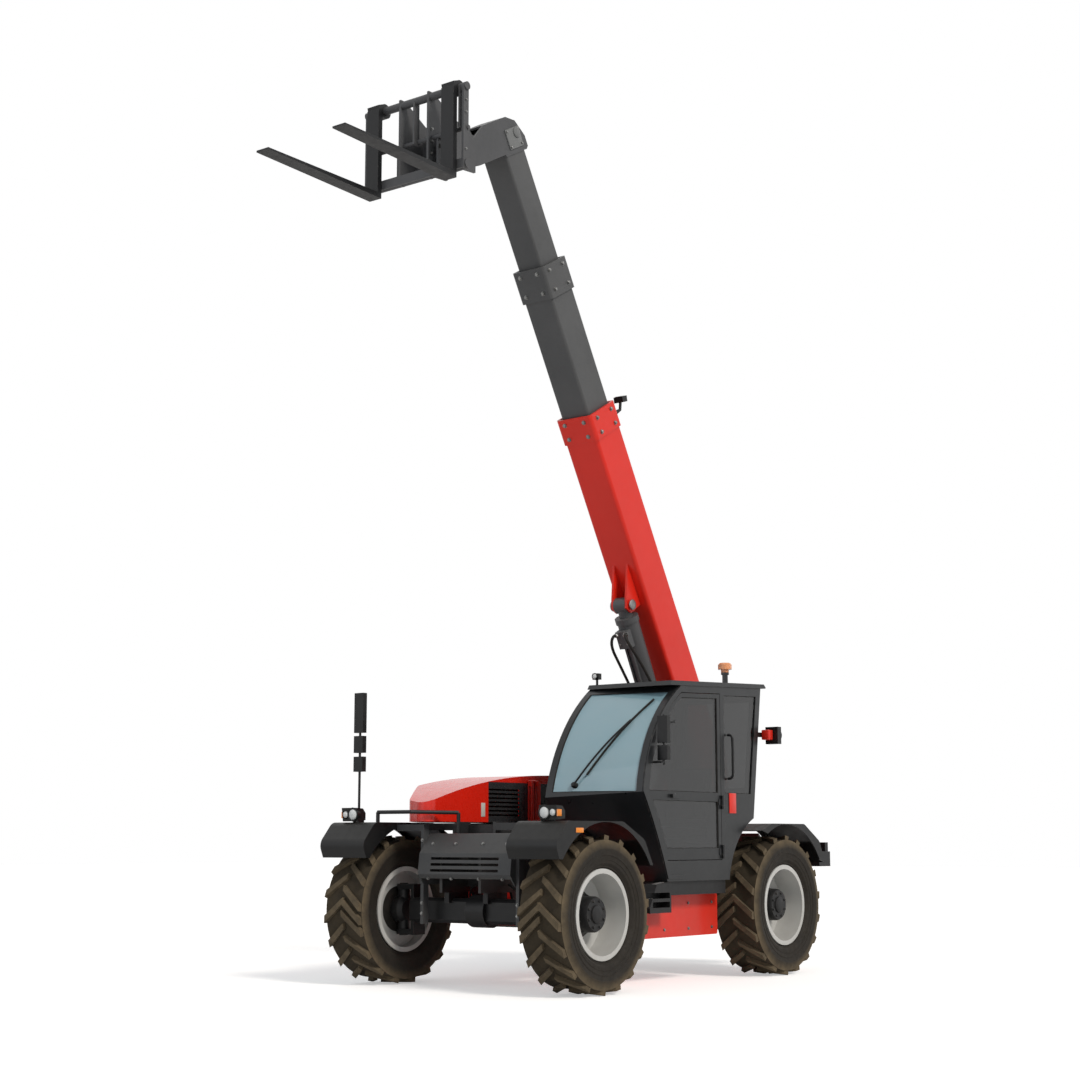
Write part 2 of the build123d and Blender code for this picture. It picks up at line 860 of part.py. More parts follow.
def bonnet_form(t, mode=Mode.ADD):
    with BuildSketch(level(bonnet_low)) as plan:
        with BuildLine():
            Polyline(
                (bonnet_rear + t, bonnet_in - t),
                (bonnet_front - t, bonnet_in - t),
                (bonnet_front - 100 - t, bonnet_in - 250),
                (bonnet_front - 640 - t, bonnet_out + t),
                (bonnet_rear + t, bonnet_out + t),
                close=True,
            )
        make_face()
        fillet(plan.vertices().sort_by(Axis.X)[2:5], 90)
    extrude(plan.sketch, amount=500, mode=mode)
    with BuildSketch(side(0)) as crown:
        with BuildLine():
            Polyline(
                (bonnet_rear - 300, bonnet_low - 160),
                (bonnet_front + 800, bonnet_low - 160),
                (bonnet_front + 800, bonnet_low + 20 - t),
                (bonnet_front, bonnet_low + 135 - t),
            )
            ThreePointArc(
                (bonnet_front, bonnet_low + 135 - t),
                (bonnet_front - 680, bonnet_low + 308 - t),
                (bonnet_rear + 900, bonnet_low + 390 - t),
            )
            Polyline(
                (bonnet_rear + 900, bonnet_low + 390 - t),
                (bonnet_rear - 300, bonnet_low + 428 - t),
                (bonnet_rear - 300, bonnet_low - 160),
            )
        make_face()
    extrude(crown.sketch, amount=1200, mode=Mode.INTERSECT)


with BuildPart() as bonnet_core:
    bonnet_form(bonnet_sheet)
with BuildPart() as bonnet:
    bonnet_form(0)
    add(bonnet_core.part, mode=Mode.SUBTRACT)
    for i in range(7):
        z = bonnet_low + 50 + i * louvre_pitch
        block(bonnet_front - 1180, bonnet_front - 780, bonnet_in - 20, bonnet_in + 5, z, z + 15,
              Mode.SUBTRACT)
    for x in bonnet_hinges:
        rod_x(x, x + 60, bonnet_hinge_y, bonnet_hinge_z, 12.5)
        rod_x(x, x + 60, bonnet_hinge_y, bonnet_hinge_z, 5 + fit, Mode.SUBTRACT)
finish(bonnet.part, "bonnet")

with BuildPart() as engine_panels:
    top = bonnet_low - 5
    low = 760 + fit
    block(tray_rear, tray_front, tray_out, tray_out + 12, low, top)
    block(tray_rear, tray_rear + 12, tray_out + 12, -360, low, top)
    block(tray_front - 12, tray_front, tray_out + 12, -360, low, top)
    for i in range(9):
        x = tray_rear + 330 + i * 70
        block(x, x + 34, tray_out - 5, tray_out + 20, low + 120, top - 120, Mode.SUBTRACT)
finish(engine_panels.part, "engine_panels")

# Boom sections
with BuildPart() as boom_base:
    box_tube(base_rear, base_end, base_width, base_height, base_wall, 30)
    box_tube(base_end - collar_length, base_end, base_width + 2 * collar_wall,
             base_height + 2 * collar_wall, collar_wall + base_wall, 36)
    boom_rod(0, 0, -plate_gap / 2 + fit, plate_gap / 2 - fit, pivot_boss)
    for w in (52, -52 - 20):
        boom_slab(
            [
                (lift_eye_u - 60, -base_height / 2),
                (lift_eye_u + 330, -base_height / 2),
                (lift_eye_u + 75, lift_eye_v - 30),
                (lift_eye_u, lift_eye_v - 72),
                (lift_eye_u - 65, lift_eye_v - 25),
            ],
            w + (10 if w > 0 else -10),
            w + 20 + (10 if w > 0 else -10),
        )
    boom_rod(lift_eye_u, lift_eye_v, -100, 100, lift_pin)
    boom_rod(0, 0, -plate_gap, plate_gap, pivot_pin + fit, Mode.SUBTRACT)
    gap_w = base_width / 2 - base_wall - mid_width / 2
    gap_h = base_height / 2 - base_wall - mid_height / 2
    pads(base_end - pad_length - 5, mid_width, mid_height, gap_w, gap_h, True)
finish(boom_base.part, "boom_base")

with BuildPart() as boom_mid:
    box_tube(mid_rear, mid_end, mid_width, mid_height, mid_wall, 26)
    box_tube(mid_end - mid_collar_length, mid_end, mid_width + 36, mid_height + 36, 27, 30)
    pads(mid_rear, mid_width, mid_height, gap_w, gap_h, False)
    slim_w = mid_width / 2 - mid_wall - inner_width / 2
    slim_h = mid_height / 2 - mid_wall - inner_height / 2
    pads(mid_end - pad_length - 5, inner_width, inner_height, slim_w, slim_h, True)
finish(boom_mid.part, "boom_mid")

with BuildPart() as boom_inner:
    box_tube(inner_rear, inner_end, inner_width, inner_height, inner_wall, 22)
    pads(inner_rear, inner_width, inner_height, slim_w, slim_h, False)
finish(boom_inner.part, "boom_inner")

# Head: a neck of two plates with a closed back, top and front
neck_rear = inner_end + 20
neck_front = neck_rear + neck_depth - 20
half_head = head_width / 2
pin_u = carriage_pin_u
pin_v = carriage_pin_v
with BuildPart() as boom_head:
    boom_slab([(inner_end, -150), (neck_rear, -150), (neck_rear, neck_top), (inner_end, 160)],
              -half_head, half_head)
    neck_outline = [
        (neck_rear, neck_top),
        (neck_rear + 90, neck_top),
        (neck_rear + 235, 115),
        (neck_front, 0),
        (neck_front, neck_front_low),
        (pin_u + 90, pin_v + 60),
        (pin_u + 72, pin_v - 30),
        (pin_u, pin_v - 78),
        (pin_u - 65, pin_v - 40),
        (neck_rear, pin_v + 150),
    ]
    boom_slab(neck_outline, -half_head, half_head)
    t = 16
    neck_inside = [
        (neck_rear + t, neck_top - t),
        (neck_rear + 85, neck_top - t),
        (neck_rear + 225, 103),
        (neck_front - t, -8),
        (neck_front - t, neck_front_low),
        (neck_front + 60, neck_front_low),
        (neck_front + 60, -1000),
        (neck_rear - 100, -1000),
        (neck_rear - 100, pin_v + 100),
        (neck_rear + t, pin_v + 190),
    ]
    boom_slab(neck_inside, -half_head + head_plate, half_head - head_plate, Mode.SUBTRACT)
    boom_rod(pin_u, pin_v, -half_head, half_head, carriage_pin + fit, Mode.SUBTRACT)
    boom_rod(tilt_eye_u, tilt_eye_v, -half_head, half_head, tilt_pin)
finish(boom_head.part, "boom_head")

# Coupler and fork frame, drawn from the carriage pin with the forks level
pin_x = pin_drop.X
pin_z = pin_drop.Z
lever_x = lever * math.cos(math.radians(lever_angle))
lever_z = lever * math.sin(math.radians(lever_angle))
plate_in = half_head + coupler_gap
bar_back = frame_front - 60
bar_low = fork_top + 30
cross_x = 215


def coupler(points):
    return [(pin_x + x, pin_z + z) for x, z in points]


def upright(w, thickness, low):
    """A plate of the fork frame, from a height up to the bar that the forks hang on."""
    slab(
        coupler([
            (bar_back, low),
            (frame_front, low),
            (frame_front, shaft_up),
            (bar_back + 14, shaft_up + 40),
            (bar_back, shaft_up),
        ]),
        boom_y + w,
        boom_y + w + thickness,
    )


with BuildPart() as fork_frame:
    for w in (plate_in, -plate_in - coupler_plate):
        slab(
            coupler([
                (-82, -100),
                (-82, 160),
                (0, 240),
                (200, 270),
                (bar_back, shaft_up + 40),
                (frame_front, shaft_up + 40),
                (frame_front, bar_low),
                (bar_back, bar_low),
                (cross_x, -127),
            ]),
            boom_y + w,
            boom_y + w + coupler_plate,
        )
    slab(
        coupler([(cross_x, -127), (cross_x + 22, -127), (cross_x + 22, 120), (cross_x, 120)]),
        boom_y - plate_in,
        boom_y + plate_in,
    )
    for w in (tilt_eye_width / 2 + 2, -tilt_eye_width / 2 - 2 - 20):
        slab(
            coupler([
                (-45, -45),
                (cross_x, -90),
                (cross_x, 110),
                (lever_x + 10, lever_z + 42),
                (-30, 50),
            ]),
            boom_y + w,
            boom_y + w + 20,
        )
    upright(frame_half - 20, 20, bar_low)
    upright(-frame_half, 20, bar_low)
    upright(frame_half - 56, 14, 30)
    upright(42 - frame_half, 14, 30)
    upright(-8, 16, 0)
    for w in (plate_in + 60, -plate_in - 80):
        slab(
            coupler([(bar_back + 10, bar_low), (bar_back + 10, 30), (cross_x + 60, -100),
                     (cross_x + 60, -160)]),
            boom_y + w,
            boom_y + w + 20,
        )
    rod_y(pin_x + cross_x + 75, pin_z - 130, boom_y - plate_in - 95, boom_y + plate_in + 95, 26)
    slab(
        coupler([
            (frame_front - 16, bar_low),
            (frame_front, bar_low),
            (frame_front, bar_low + 75),
            (frame_front - 16, bar_low + 75),
        ]),
        boom_y - frame_half,
        boom_y + frame_half,
    )
    for x, z, radius in (
        (bar_back + 12, bar_low + 38, 38),
        (bar_back + 10, 30, 17),
        (frame_front - 32, shaft_up, shaft_radius),
    ):
        rod_y(pin_x + x, pin_z + z, boom_y - frame_half - 12, boom_y + frame_half + 12, radius)
    rod_y(pin_x, pin_z, boom_y - plate_in - coupler_plate - 12,
          boom_y + plate_in + coupler_plate + 12, carriage_pin)
finish(fork_frame.part, "fork_frame")

for hand, w in (("left", fork_spacing / 2), ("right", -fork_spacing / 2)):
    with BuildPart() as fork:
        back_x = frame_front + 6
        slab(
            coupler([
                (back_x, fork_top - fork_thickness),
                (back_x + fork_thickness + fork_length, fork_top - 14),
                (back_x + fork_thickness + fork_length, fork_top),
                (back_x + fork_thickness, fork_top),
                (back_x + fork_thickness, shaft_up),
                (back_x, shaft_up),
            ]),
            boom_y + w - fork_width / 2,
            boom_y + w + fork_width / 2,
        )
        rod_y(pin_x + frame_front - 32, pin_z + shaft_up, boom_y + w - fork_width / 2,
              boom_y + w + fork_width / 2, shaft_radius + 28)
        slab(coupler([(back_x - 30, shaft_up - 60), (back_x + 10, shaft_up - 100),
                      (back_x + fork_thickness, shaft_up + 30), (back_x - 30, shaft_up + 60)]),
             boom_y + w - fork_width / 2, boom_y + w + fork_width / 2)
        rod_y(pin_x + frame_front - 32, pin_z + shaft_up, boom_y + w - fork_width,
              boom_y + w + fork_width, shaft_radius + fit, Mode.SUBTRACT)
        block(pin_x + bar_back - 60, pin_x + frame_front + fit, boom_y - 800, boom_y + 800,
              pin_z - 400, pin_z + shaft_up - 61, Mode.SUBTRACT)
    finish(fork.part, f"fork_{hand}")


# Cylinders: each is drawn along the line from its barrel's eye to its rod's eye
def cylinder(barrel_name, rod_name, head, foot, tube, rod_radius, length, pin_radius, width,
             rod_start, eye, piston, valve):
    line = foot - head
    run = Plane(origin=head, x_dir=(0, 1, 0), z_dir=line.normalized())
    bore = tube - 14
    gland = 60

    def disc(start, end, radius, mode=Mode.ADD):
        with BuildSketch(run.offset(start)) as face:
            Circle(radius)
        extrude(face.sketch, amount=end - start, mode=mode)

    def box_on(start, end, x, y, wide, deep):
        with BuildSketch(run.offset(start)) as face:
            with Locations((x, y)):
                Rectangle(wide, deep)
        extrude(face.sketch, amount=end - start)

    def eye_boss(centre, radius, mode=Mode.ADD, wide=width):
        upright = Plane(origin=centre + Vector(0, wide / 2, 0), x_dir=(1, 0, 0), z_dir=(0, -1, 0))
        with BuildSketch(upright) as face:
            Circle(radius)
        extrude(face.sketch, amount=wide, mode=mode)

    with BuildPart() as barrel:
        disc(eye * 0.5, eye * 1.5, width / 2 - slip)
        disc(eye * 1.5, length, tube)
        disc(eye * 1.5, eye * 1.5 + 50, tube * 1.12)
        disc(length - gland, length, tube * 1.12)
        eye_boss(head, eye)
        if valve:
            box_on(eye * 1.5 + 90, eye * 1.5 + 250, 0, tube + 18, 120, 70)
            for x in (-26, 26):
                box_on(eye * 1.5 + 200, length - 30, x, tube + 4, 16, 24)
        disc(eye * 1.7, length - gland, bore, Mode.SUBTRACT)
        disc(length - gland - 1, length + 1, rod_radius + fit, Mode.SUBTRACT)
        eye_boss(head, pin_radius + fit, Mode.SUBTRACT, width * 2)
    finish(barrel.part, barrel_name)

    with BuildPart() as rod:
        disc(rod_start, line.length, rod_radius)
        disc(rod_start, rod_start + piston, bore - fit)
        eye_boss(foot, eye * 0.9)
    finish(rod.part, rod_name)


def boom_point(u, v):
    return boom_pivot + boom_dir * u + boom_up * v


cylinder("lift_barrel", "lift_rod", boom_point(lift_eye_u, lift_eye_v),
         at(lift_foot_x, boom_y, lift_foot_z), lift_tube, lift_rod_radius, lift_length, lift_pin,
         eye_width, 880, 70, 60, True)
cylinder("tilt_barrel", "tilt_rod", boom_point(tilt_eye_u, tilt_eye_v),
         at(pin_x + lever_x, boom_y, pin_z + lever_z), tilt_tube, tilt_rod_radius, tilt_length,
         tilt_pin, tilt_eye_width, 276, 42, 36, False)

# Lamps, mirrors, beacon and the guard tube in front
fender_top = 1257 + fit
with BuildPart() as lamps:
    for s in (1, -1):
        y0, y1 = sorted((s * 900, s * 1060))
        head_x = front_axle_x + 375
        rod_z(head_x + 40, s * 980, fender_top, 1290, 14)
        slab(
            [
                (head_x, 1275),
                (head_x + 90, 1265),
                (head_x + 105, 1370),
                (head_x + 30, 1365),
                (head_x, 1330),
            ],
            y0,
            y1,
        )
        y0, y1 = sorted((s * 870, s * 1010))
        block(rear_end + 18, rear_end + 70, y0, y1, 1020 + fit, 1100)
    tail_x = cab_back - 110
    block(tail_x + 30, cab_back + 130, cab_left + fit, cab_left + 6, 1985, 2025)
    block(tail_x - 20, tail_x + 40, cab_left + fit, cab_left + 120, 1930, 2075)
    work_x = roof_front - 80
    rod_z(work_x, cab_right + 30, roof_z(work_x - 10, 36) + fit, 2440, 10)
    block(work_x - 20, work_x + 25, cab_right, cab_right + 60, 2425, 2475)
finish(lamps.part, "lamps")

with BuildPart() as mirrors:
    stem_x = front_axle_x + 275
    stem_y = -1065
    rod_z(stem_x, stem_y, fender_top, 2290, 10)
    block(stem_x - 30, stem_x + 30, stem_y - 30, stem_y + 30, fender_top, 1300)
    for z0, z1 in ((1970, 2290), (1810, 1945), (1660, 1780)):
        block(stem_x - 22, stem_x + 22, stem_y - 48, stem_y + 48, z0, z1)
finish(mirrors.part, "mirrors")

with BuildPart() as guard_tube:
    lane = bonnet_front + 70
    with BuildLine() as guard_line:
        Polyline(
            at(bump + 80, -180, 1170 + fit),
            at(bump + 80, -180, 1330),
            at(lane, -420, 1335),
            at(lane, -760, 1335),
            at(lane, -760, fender_top),
        )
    with BuildSketch(Plane(origin=guard_line.line @ 0, z_dir=guard_line.line % 0)) as ring:
        Circle(15)
    sweep(ring.sketch, path=guard_line.line, transition=Transition.ROUND)
finish(guard_tube.part, "guard_tube")

with BuildPart() as beacon:
    beacon_x = cab_back + 360
    rod_z(beacon_x, 900, roof_z(beacon_x - 24, 36) + fit, 2500, 24)
    rod_z(beacon_x, 900, 2500, 2545, 34)
    rod_z(beacon_x, 900, 2545, 2600, 58)
    chamfer(beacon.part.faces().sort_by(Axis.Z)[-1].edges(), 14)
finish(beacon.part, "beacon")

# Work lamp on the upper side of the boom's base section
with BuildPart() as boom_lamp:
    lamp_u = base_end - 120
    collar_top = base_height / 2 + collar_wall
    boom_slab(
        [
            (lamp_u - 20, collar_top + fit),
            (lamp_u + 20, collar_top + fit),
            (lamp_u + 10, collar_top + 90),
            (lamp_u + 70, collar_top + 130),
            (lamp_u + 60, collar_top + 150),
            (lamp_u - 10, collar_top + 100),
        ],
        134,
        150,
    )
    boom_slab(
        [
            (lamp_u + 60, collar_top + 105),
            (lamp_u + 110, collar_top + 120),
            (lamp_u + 95, collar_top + 190),
            (lamp_u + 45, collar_top + 175),
        ],
        95,
        190,
    )
finish(boom_lamp.part, "boom_lamp")
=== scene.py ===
import math

import bmesh
import bpy
from mathutils import Matrix, Vector
from mathutils.bvhtree import BVHTree


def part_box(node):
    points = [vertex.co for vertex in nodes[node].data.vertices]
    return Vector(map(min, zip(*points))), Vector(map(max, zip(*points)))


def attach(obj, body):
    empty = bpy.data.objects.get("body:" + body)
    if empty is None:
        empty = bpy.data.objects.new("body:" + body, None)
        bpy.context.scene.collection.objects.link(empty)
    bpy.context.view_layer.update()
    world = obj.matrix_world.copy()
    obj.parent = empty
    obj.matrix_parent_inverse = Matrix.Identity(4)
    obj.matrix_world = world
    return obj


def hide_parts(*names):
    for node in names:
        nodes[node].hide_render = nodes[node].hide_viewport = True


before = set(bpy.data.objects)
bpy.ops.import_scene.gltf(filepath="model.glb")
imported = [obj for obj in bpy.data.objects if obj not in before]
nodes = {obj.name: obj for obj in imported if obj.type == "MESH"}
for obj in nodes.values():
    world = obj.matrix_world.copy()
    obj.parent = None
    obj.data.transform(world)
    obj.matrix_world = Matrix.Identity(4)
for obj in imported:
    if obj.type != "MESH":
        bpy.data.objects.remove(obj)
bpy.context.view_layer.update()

# Places shared by the camera and the added pieces, in metres
front_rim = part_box("rim_front_left")
rear_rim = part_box("rim_rear_left")
front_axle = (front_rim[0].x + front_rim[1].x) / 2
rear_axle = (rear_rim[0].x + rear_rim[1].x) / 2
axle_z = (front_rim[0].z + front_rim[1].z) / 2
wheel_y = (front_rim[0].y + front_rim[1].y) / 2
mid_x = (front_axle + rear_axle) / 2
pivot = Vector((rear_axle - 0.525, -0.08, 1.85))
boom_angle = math.radians(60)
boom_dir = Vector((math.cos(boom_angle), 0, math.sin(boom_angle)))
boom_up = Vector((-math.sin(boom_angle), 0, math.cos(boom_angle)))
X = Vector((1, 0, 0))
Y = Vector((0, 1, 0))
Z = Vector((0, 0, 1))


def at(x, y, z):
    """A point set out from the ground point midway between the axles."""
    return Vector((mid_x + x, y, z))


def on_boom(u, w, v):
    """A point along the boom from its pivot, to its left, and towards its upper side."""
    return pivot + boom_dir * u + Y * w + boom_up * v


# Materials
def srgb(hex_code):
    values = [int(hex_code[i:i + 2], 16) / 255 for i in (0, 2, 4)]
    return tuple(v / 12.92 if v <= 0.04045 else ((v + 0.055) / 1.055) ** 2.4 for v in values) + (1,)


class Shader:
    """A principled material with short calls for its nodes."""

    def __init__(self, name):
        self.material = bpy.data.materials.new(name)
        self.material.use_nodes = True
        self.tree = self.material.node_tree
        self.shader = self.tree.nodes["Principled BSDF"]

    def node(self, kind, inputs=None, **settings):
        made = self.tree.nodes.new(kind)
        for key, value in settings.items():
            setattr(made, key, value)
        for key, value in (inputs or {}).items():
            if isinstance(value, bpy.types.NodeSocket):
                self.tree.links.new(value, made.inputs[key])
            else:
                made.inputs[key].default_value = value
        return made

    def place(self):
        return self.node("ShaderNodeTexCoord").outputs["Object"]

    def noise(self, scale, detail=4, rough=0.6, stretch=(1, 1, 1)):
        moved = self.node("ShaderNodeMapping", {"Vector": self.place(), "Scale": stretch})
        made = self.node(
            "ShaderNodeTexNoise",
            {"Vector": moved.outputs[0], "Scale": scale, "Detail": detail, "Roughness": rough},
        )
        return made.outputs["Fac"]

    def ramp(self, value, low, high, start=0.0, end=1.0):
        made = self.node(
            "ShaderNodeMapRange",
            {"Value": value, "From Min": low, "From Max": high, "To Min": start, "To Max": end},
        )
        return made.outputs["Result"]

    def math(self, operation, a, b, clamp=True):
        made = self.node("ShaderNodeMath", {0: a, 1: b}, operation=operation, use_clamp=clamp)
        return made.outputs[0]

    def mix(self, amount, a, b):
        made = self.node("ShaderNodeMix", {0: amount, 6: a, 7: b}, data_type="RGBA")
        return made.outputs[2]

    def part_of(self, vector, axis):
        return self.node("ShaderNodeSeparateXYZ", {0: vector}).outputs[axis]

    def facing(self, axis, low=0.3, high=1.0):
        normal = self.node("ShaderNodeNewGeometry").outputs["Normal"]
        return self.ramp(self.part_of(normal, axis), low, high)

    def worn_edge(self, radius=0.006):
        """Where a rounded normal leaves the face's own, close to a hard edge."""
        rounded = self.node("ShaderNodeBevel", {"Radius": radius}, samples=4).outputs[0]
        flat = self.node("ShaderNodeNewGeometry").outputs["Normal"]
        apart = self.node("ShaderNodeVectorMath", {0: rounded, 1: flat}, operation="DOT_PRODUCT")
        return self.ramp(apart.outputs["Value"], 0.99, 0.9)

    def beyond(self, axis, limit, blur=0.002):
        """1 where the place on an axis is above a limit, and 0 below it."""
        return self.ramp(self.part_of(self.place(), axis), limit - blur, limit + blur)

    def from_axle(self, centre_x):
        """The distance from a wheel's axle line."""
        moved = self.node(
            "ShaderNodeVectorMath", {0: self.place(), 1: (centre_x, 0, axle_z)}, operation="SUBTRACT"
        )
        flat = self.node(
            "ShaderNodeVectorMath", {0: moved.outputs[0], 1: (1, 0, 1)}, operation="MULTIPLY"
        )
        return self.node("ShaderNodeVectorMath", {0: flat.outputs[0]}, operation="LENGTH").outputs["Value"]

    def off_the_sides(self):
        """1 on a wheel's faces that don't look along its axle, and 0 on its sides."""
        normal = self.node("ShaderNodeNewGeometry").outputs["Normal"]
        sideways = self.math("ABSOLUTE", self.part_of(normal, "Y"), 0.0)
        return self.ramp(sideways, 0.35, 0.15)

    def bump(self, value, strength, distance):
        made = self.node("ShaderNodeBump", {"Height": value, "Strength": strength, "Distance": distance})
        self.set("Normal", made.outputs[0])

    def set(self, socket, value):
        if isinstance(value, bpy.types.NodeSocket):
            self.tree.links.new(value, self.shader.inputs[socket])
        else:
            self.shader.inputs[socket].default_value = value


def weathered(s, base, dust, dusty, wear, bare="6E6862"):
    """Dust on upward faces and low down, thin streaks, and bare metal along worn edges."""
    streak = s.ramp(s.noise(5, 5, 0.6, (1, 1, 0.2)), 0.5, 0.8, 0.0, 0.3)
    low = s.ramp(s.part_of(s.place(), "Z"), 1.4, 0.2, 0.0, 0.6)
    settled = s.math("ADD", s.math("MULTIPLY", s.facing("Z"), 0.5), s.math("ADD", low, streak))
    settled = s.math("MULTIPLY", settled, s.ramp(s.noise(3.5, 6, 0.62), 0.35, 0.7, 0.25, 1.0))
    settled = s.math("MULTIPLY", settled, dusty)
    base = s.mix(settled, base, srgb(dust))
    worn = s.math("MULTIPLY", s.worn_edge(), s.ramp(s.noise(30, 3), 0.48, 0.62, 0.0, wear))
    return s.mix(worn, base, srgb(bare)), settled


def paint(name, colour, faded, dust, rough, dusty=0.3, coat=0.0, wear=0.4, mask=None, shine=0.3):
    """Sprayed steel with slight mottling; mask gives a second colour and where it goes."""
    s = Shader(name)
    base = s.mix(s.ramp(s.noise(1.3), 0.35, 0.7), srgb(colour), srgb(faded))
    if mask:
        where, other = mask
        base = s.mix(where(s), base, srgb(other))
    base, settled = weathered(s, base, dust, dusty, wear)
    s.set("Base Color", base)
    grain = s.ramp(s.noise(18, 3), 0.3, 0.7, rough - 0.05, rough + 0.06)
    s.set("Roughness", s.math("ADD", grain, s.math("MULTIPLY", settled, 0.5)))
    s.set("Specular IOR Level", shine)
    s.set("Coat Weight", coat)
    s.set("Coat Roughness", 0.12)
    s.bump(s.noise(70, 2), 0.04, 0.001)
    return s.material


def rubber(name, colour, sheen_colour, dust, amount, centre_x=None):
    """Tyre rubber: dry soil in the tread and on its lugs, a cleaner and darker sidewall, and painted shade
    in the grooves between the lugs.
    """
    s = Shader(name)
    base = s.mix(s.ramp(s.noise(6, 6, 0.7), 0.35, 0.75), srgb(colour), srgb(sheen_colour))
    soil = s.ramp(s.noise(9, 8, 0.7), 0.3, 0.62, 0.45, 1.0)
    caked = s.math("MULTIPLY", soil, amount)
    if centre_x is not None:
        out = s.ramp(s.from_axle(centre_x), 0.47, 0.535, 0.1, 1.0)
        caked = s.math("MULTIPLY", caked, out)
        # Painted shade: the tread grooves between the lugs are darkened towards their floor.
        groove_shade_depth = s.ramp(s.from_axle(centre_x), 0.545, 0.572, 0.75, 0.0)
        painted_groove_shade = s.math("MULTIPLY", groove_shade_depth, s.off_the_sides())
        s.set("Base Color", s.mix(painted_groove_shade, s.mix(caked, base, srgb(dust)), srgb("2A251D")))
    else:
        s.set("Base Color", s.mix(caked, base, srgb(dust)))
    s.set("Specular IOR Level", 0.25)
    grain = s.ramp(s.noise(30, 4), 0.3, 0.7, 0.62, 0.8)
    s.set("Roughness", s.math("ADD", grain, s.math("MULTIPLY", caked, 0.3)))
    s.bump(s.noise(55, 6, 0.7), 0.3, 0.004)
    return s.material


def plastic(name, colour, dust, rough, dusty=0.25):
    s = Shader(name)
    grime = s.ramp(s.noise(4, 6, 0.65), 0.45, 0.8, 0.0, 0.35)
    settled = s.math("MULTIPLY", s.math("ADD", s.math("MULTIPLY", s.facing("Z"), 0.6), grime), dusty)
    s.set("Base Color", s.mix(settled, srgb(colour), srgb(dust)))
    s.set("Roughness", s.math("ADD", s.ramp(s.noise(20, 3), 0.3, 0.7, rough - 0.05, rough + 0.07), settled))
    s.set("Specular IOR Level", 0.3)
    s.bump(s.noise(350, 2), 0.1, 0.0008)
    return s.material


def metal(name, colour, other, rough, spread, stretch=(1, 1, 1)):
    s = Shader(name)
    s.set("Metallic", 1.0)
    s.set("Base Color", s.mix(s.ramp(s.noise(14, 5), 0.4, 0.7), srgb(colour), srgb(other)))
    s.set("Roughness", s.ramp(s.noise(45, 4, 0.6, stretch), 0.3, 0.7, rough, rough + spread))
    return s.material


def window(name, base_tint_and_reflection, dusty_tint_and_reflection, opacity, dust_share):
    """Glass with a little dust, its base colour a real tint on the side panes and a painted sky reflection
    on the windscreen; what is behind it shows straight through.
    """
    s = Shader(name)
    dusty = s.ramp(s.noise(4, 5, 0.6), 0.4, 0.8, 0.0, dust_share)
    s.set("Base Color", s.mix(dusty, srgb(base_tint_and_reflection), srgb(dusty_tint_and_reflection)))
    s.set("Roughness", 0.03)
    s.set("Alpha", opacity)
    s.set("Specular IOR Level", 0.9)
    return s.material


def lens(name, colour, rough, glow=0.0, through=0.2, foot=None):
    s = Shader(name)
    rings = s.node("ShaderNodeTexWave", {"Vector": s.place(), "Scale": 55.0}, wave_type="BANDS",
                   bands_direction="Y")
    prism = s.ramp(rings.outputs["Fac"], 0.2, 0.8, 0.0, 0.3)
    base = s.mix(prism, srgb(colour), srgb("FFFFFF"))
    if foot is not None:
        base = s.mix(s.beyond("Z", foot), srgb("17181A"), base)
    s.set("Base Color", base)
    s.set("Roughness", rough)
    s.set("Transmission Weight", through)
    if glow:
        s.set("Emission Color", srgb(colour))
        s.set("Emission Strength", glow)
    s.bump(rings.outputs["Fac"], 0.2, 0.002)
    return s.material


def fabric(name, colour, thread):
    s = Shader(name)
    weave = s.node("ShaderNodeTexWave", {"Vector": s.place(), "Scale": 160.0}, bands_direction="Y")
    cross_weave = s.node("ShaderNodeTexWave", {"Vector": s.place(), "Scale": 160.0}, bands_direction="Z")
    woven = s.math("MULTIPLY", weave.outputs["Fac"], cross_weave.outputs["Fac"])
    woven = s.math("ADD", woven, s.ramp(s.noise(6), 0.4, 0.7, 0.0, 0.25))
    s.set("Base Color", s.mix(woven, srgb(colour), srgb(thread)))
    s.set("Roughness", s.ramp(s.noise(15), 0.3, 0.7, 0.8, 0.95))
    s.set("Sheen Weight", 0.3)
    s.bump(woven, 0.4, 0.001)
    return s.material


def grille_part(s):
    """Where the bonnet's inner side is a dark grille: behind the split and under the top strip."""
    inward = s.facing("Y", 0.5, 0.6)
    behind = s.math("SUBTRACT", 1.0, s.beyond("X", mid_x + 0.86))
    under = s.math("SUBTRACT", 1.0, s.beyond("Z", 1.585))
    return s.math("MULTIPLY", s.math("MULTIPLY", inward, behind), under)


dust = "8A7F70"
beacon_z = [(nodes["beacon"].matrix_world @ corner.co).z for corner in nodes["beacon"].data.vertices]
stem_share = 0.55
beacon_foot = min(beacon_z) * (1 - stem_share) + max(beacon_z) * stem_share
red = paint("red_paint", "D8261A", "CC2418", dust, 0.34, 0.2, 0.2,
            mask=(lambda s: s.beyond("X", mid_x + 1.02), "232426"))
box_red = paint("box_red", "DE2818", "D02617", dust, 0.34, 0.22, 0.2)
boom_red = paint("boom_red", "E22A1B", "D82717", dust, 0.38, 0.08, 0.1)
bonnet_red = paint("bonnet_red", "DE2412", "D42010", dust, 0.28, 0.04, 0.35, mask=(grille_part, "2B2C2E"))
dark_grey = paint("dark_grey_paint", "48494B", "525355", dust, 0.46, 0.15)
boom_grey = paint("boom_grey_paint", "4A4B4C", "535455", dust, 0.44, 0.08)
black = paint("black_paint", "151618", "1C1D1F", "4F4A42", 0.4, 0.14)
cab_black = paint("cab_black_paint", "1C1E20", "232527", "4A4843", 0.32, 0.1, 0.15)
grey = paint("cover_grey_paint", "3A3C3E", "434547", dust, 0.42, 0.16)
hub = (lambda centre: (lambda s: s.ramp(s.from_axle(centre), 0.176, 0.18, 1.0, 0.0), "17181A"))
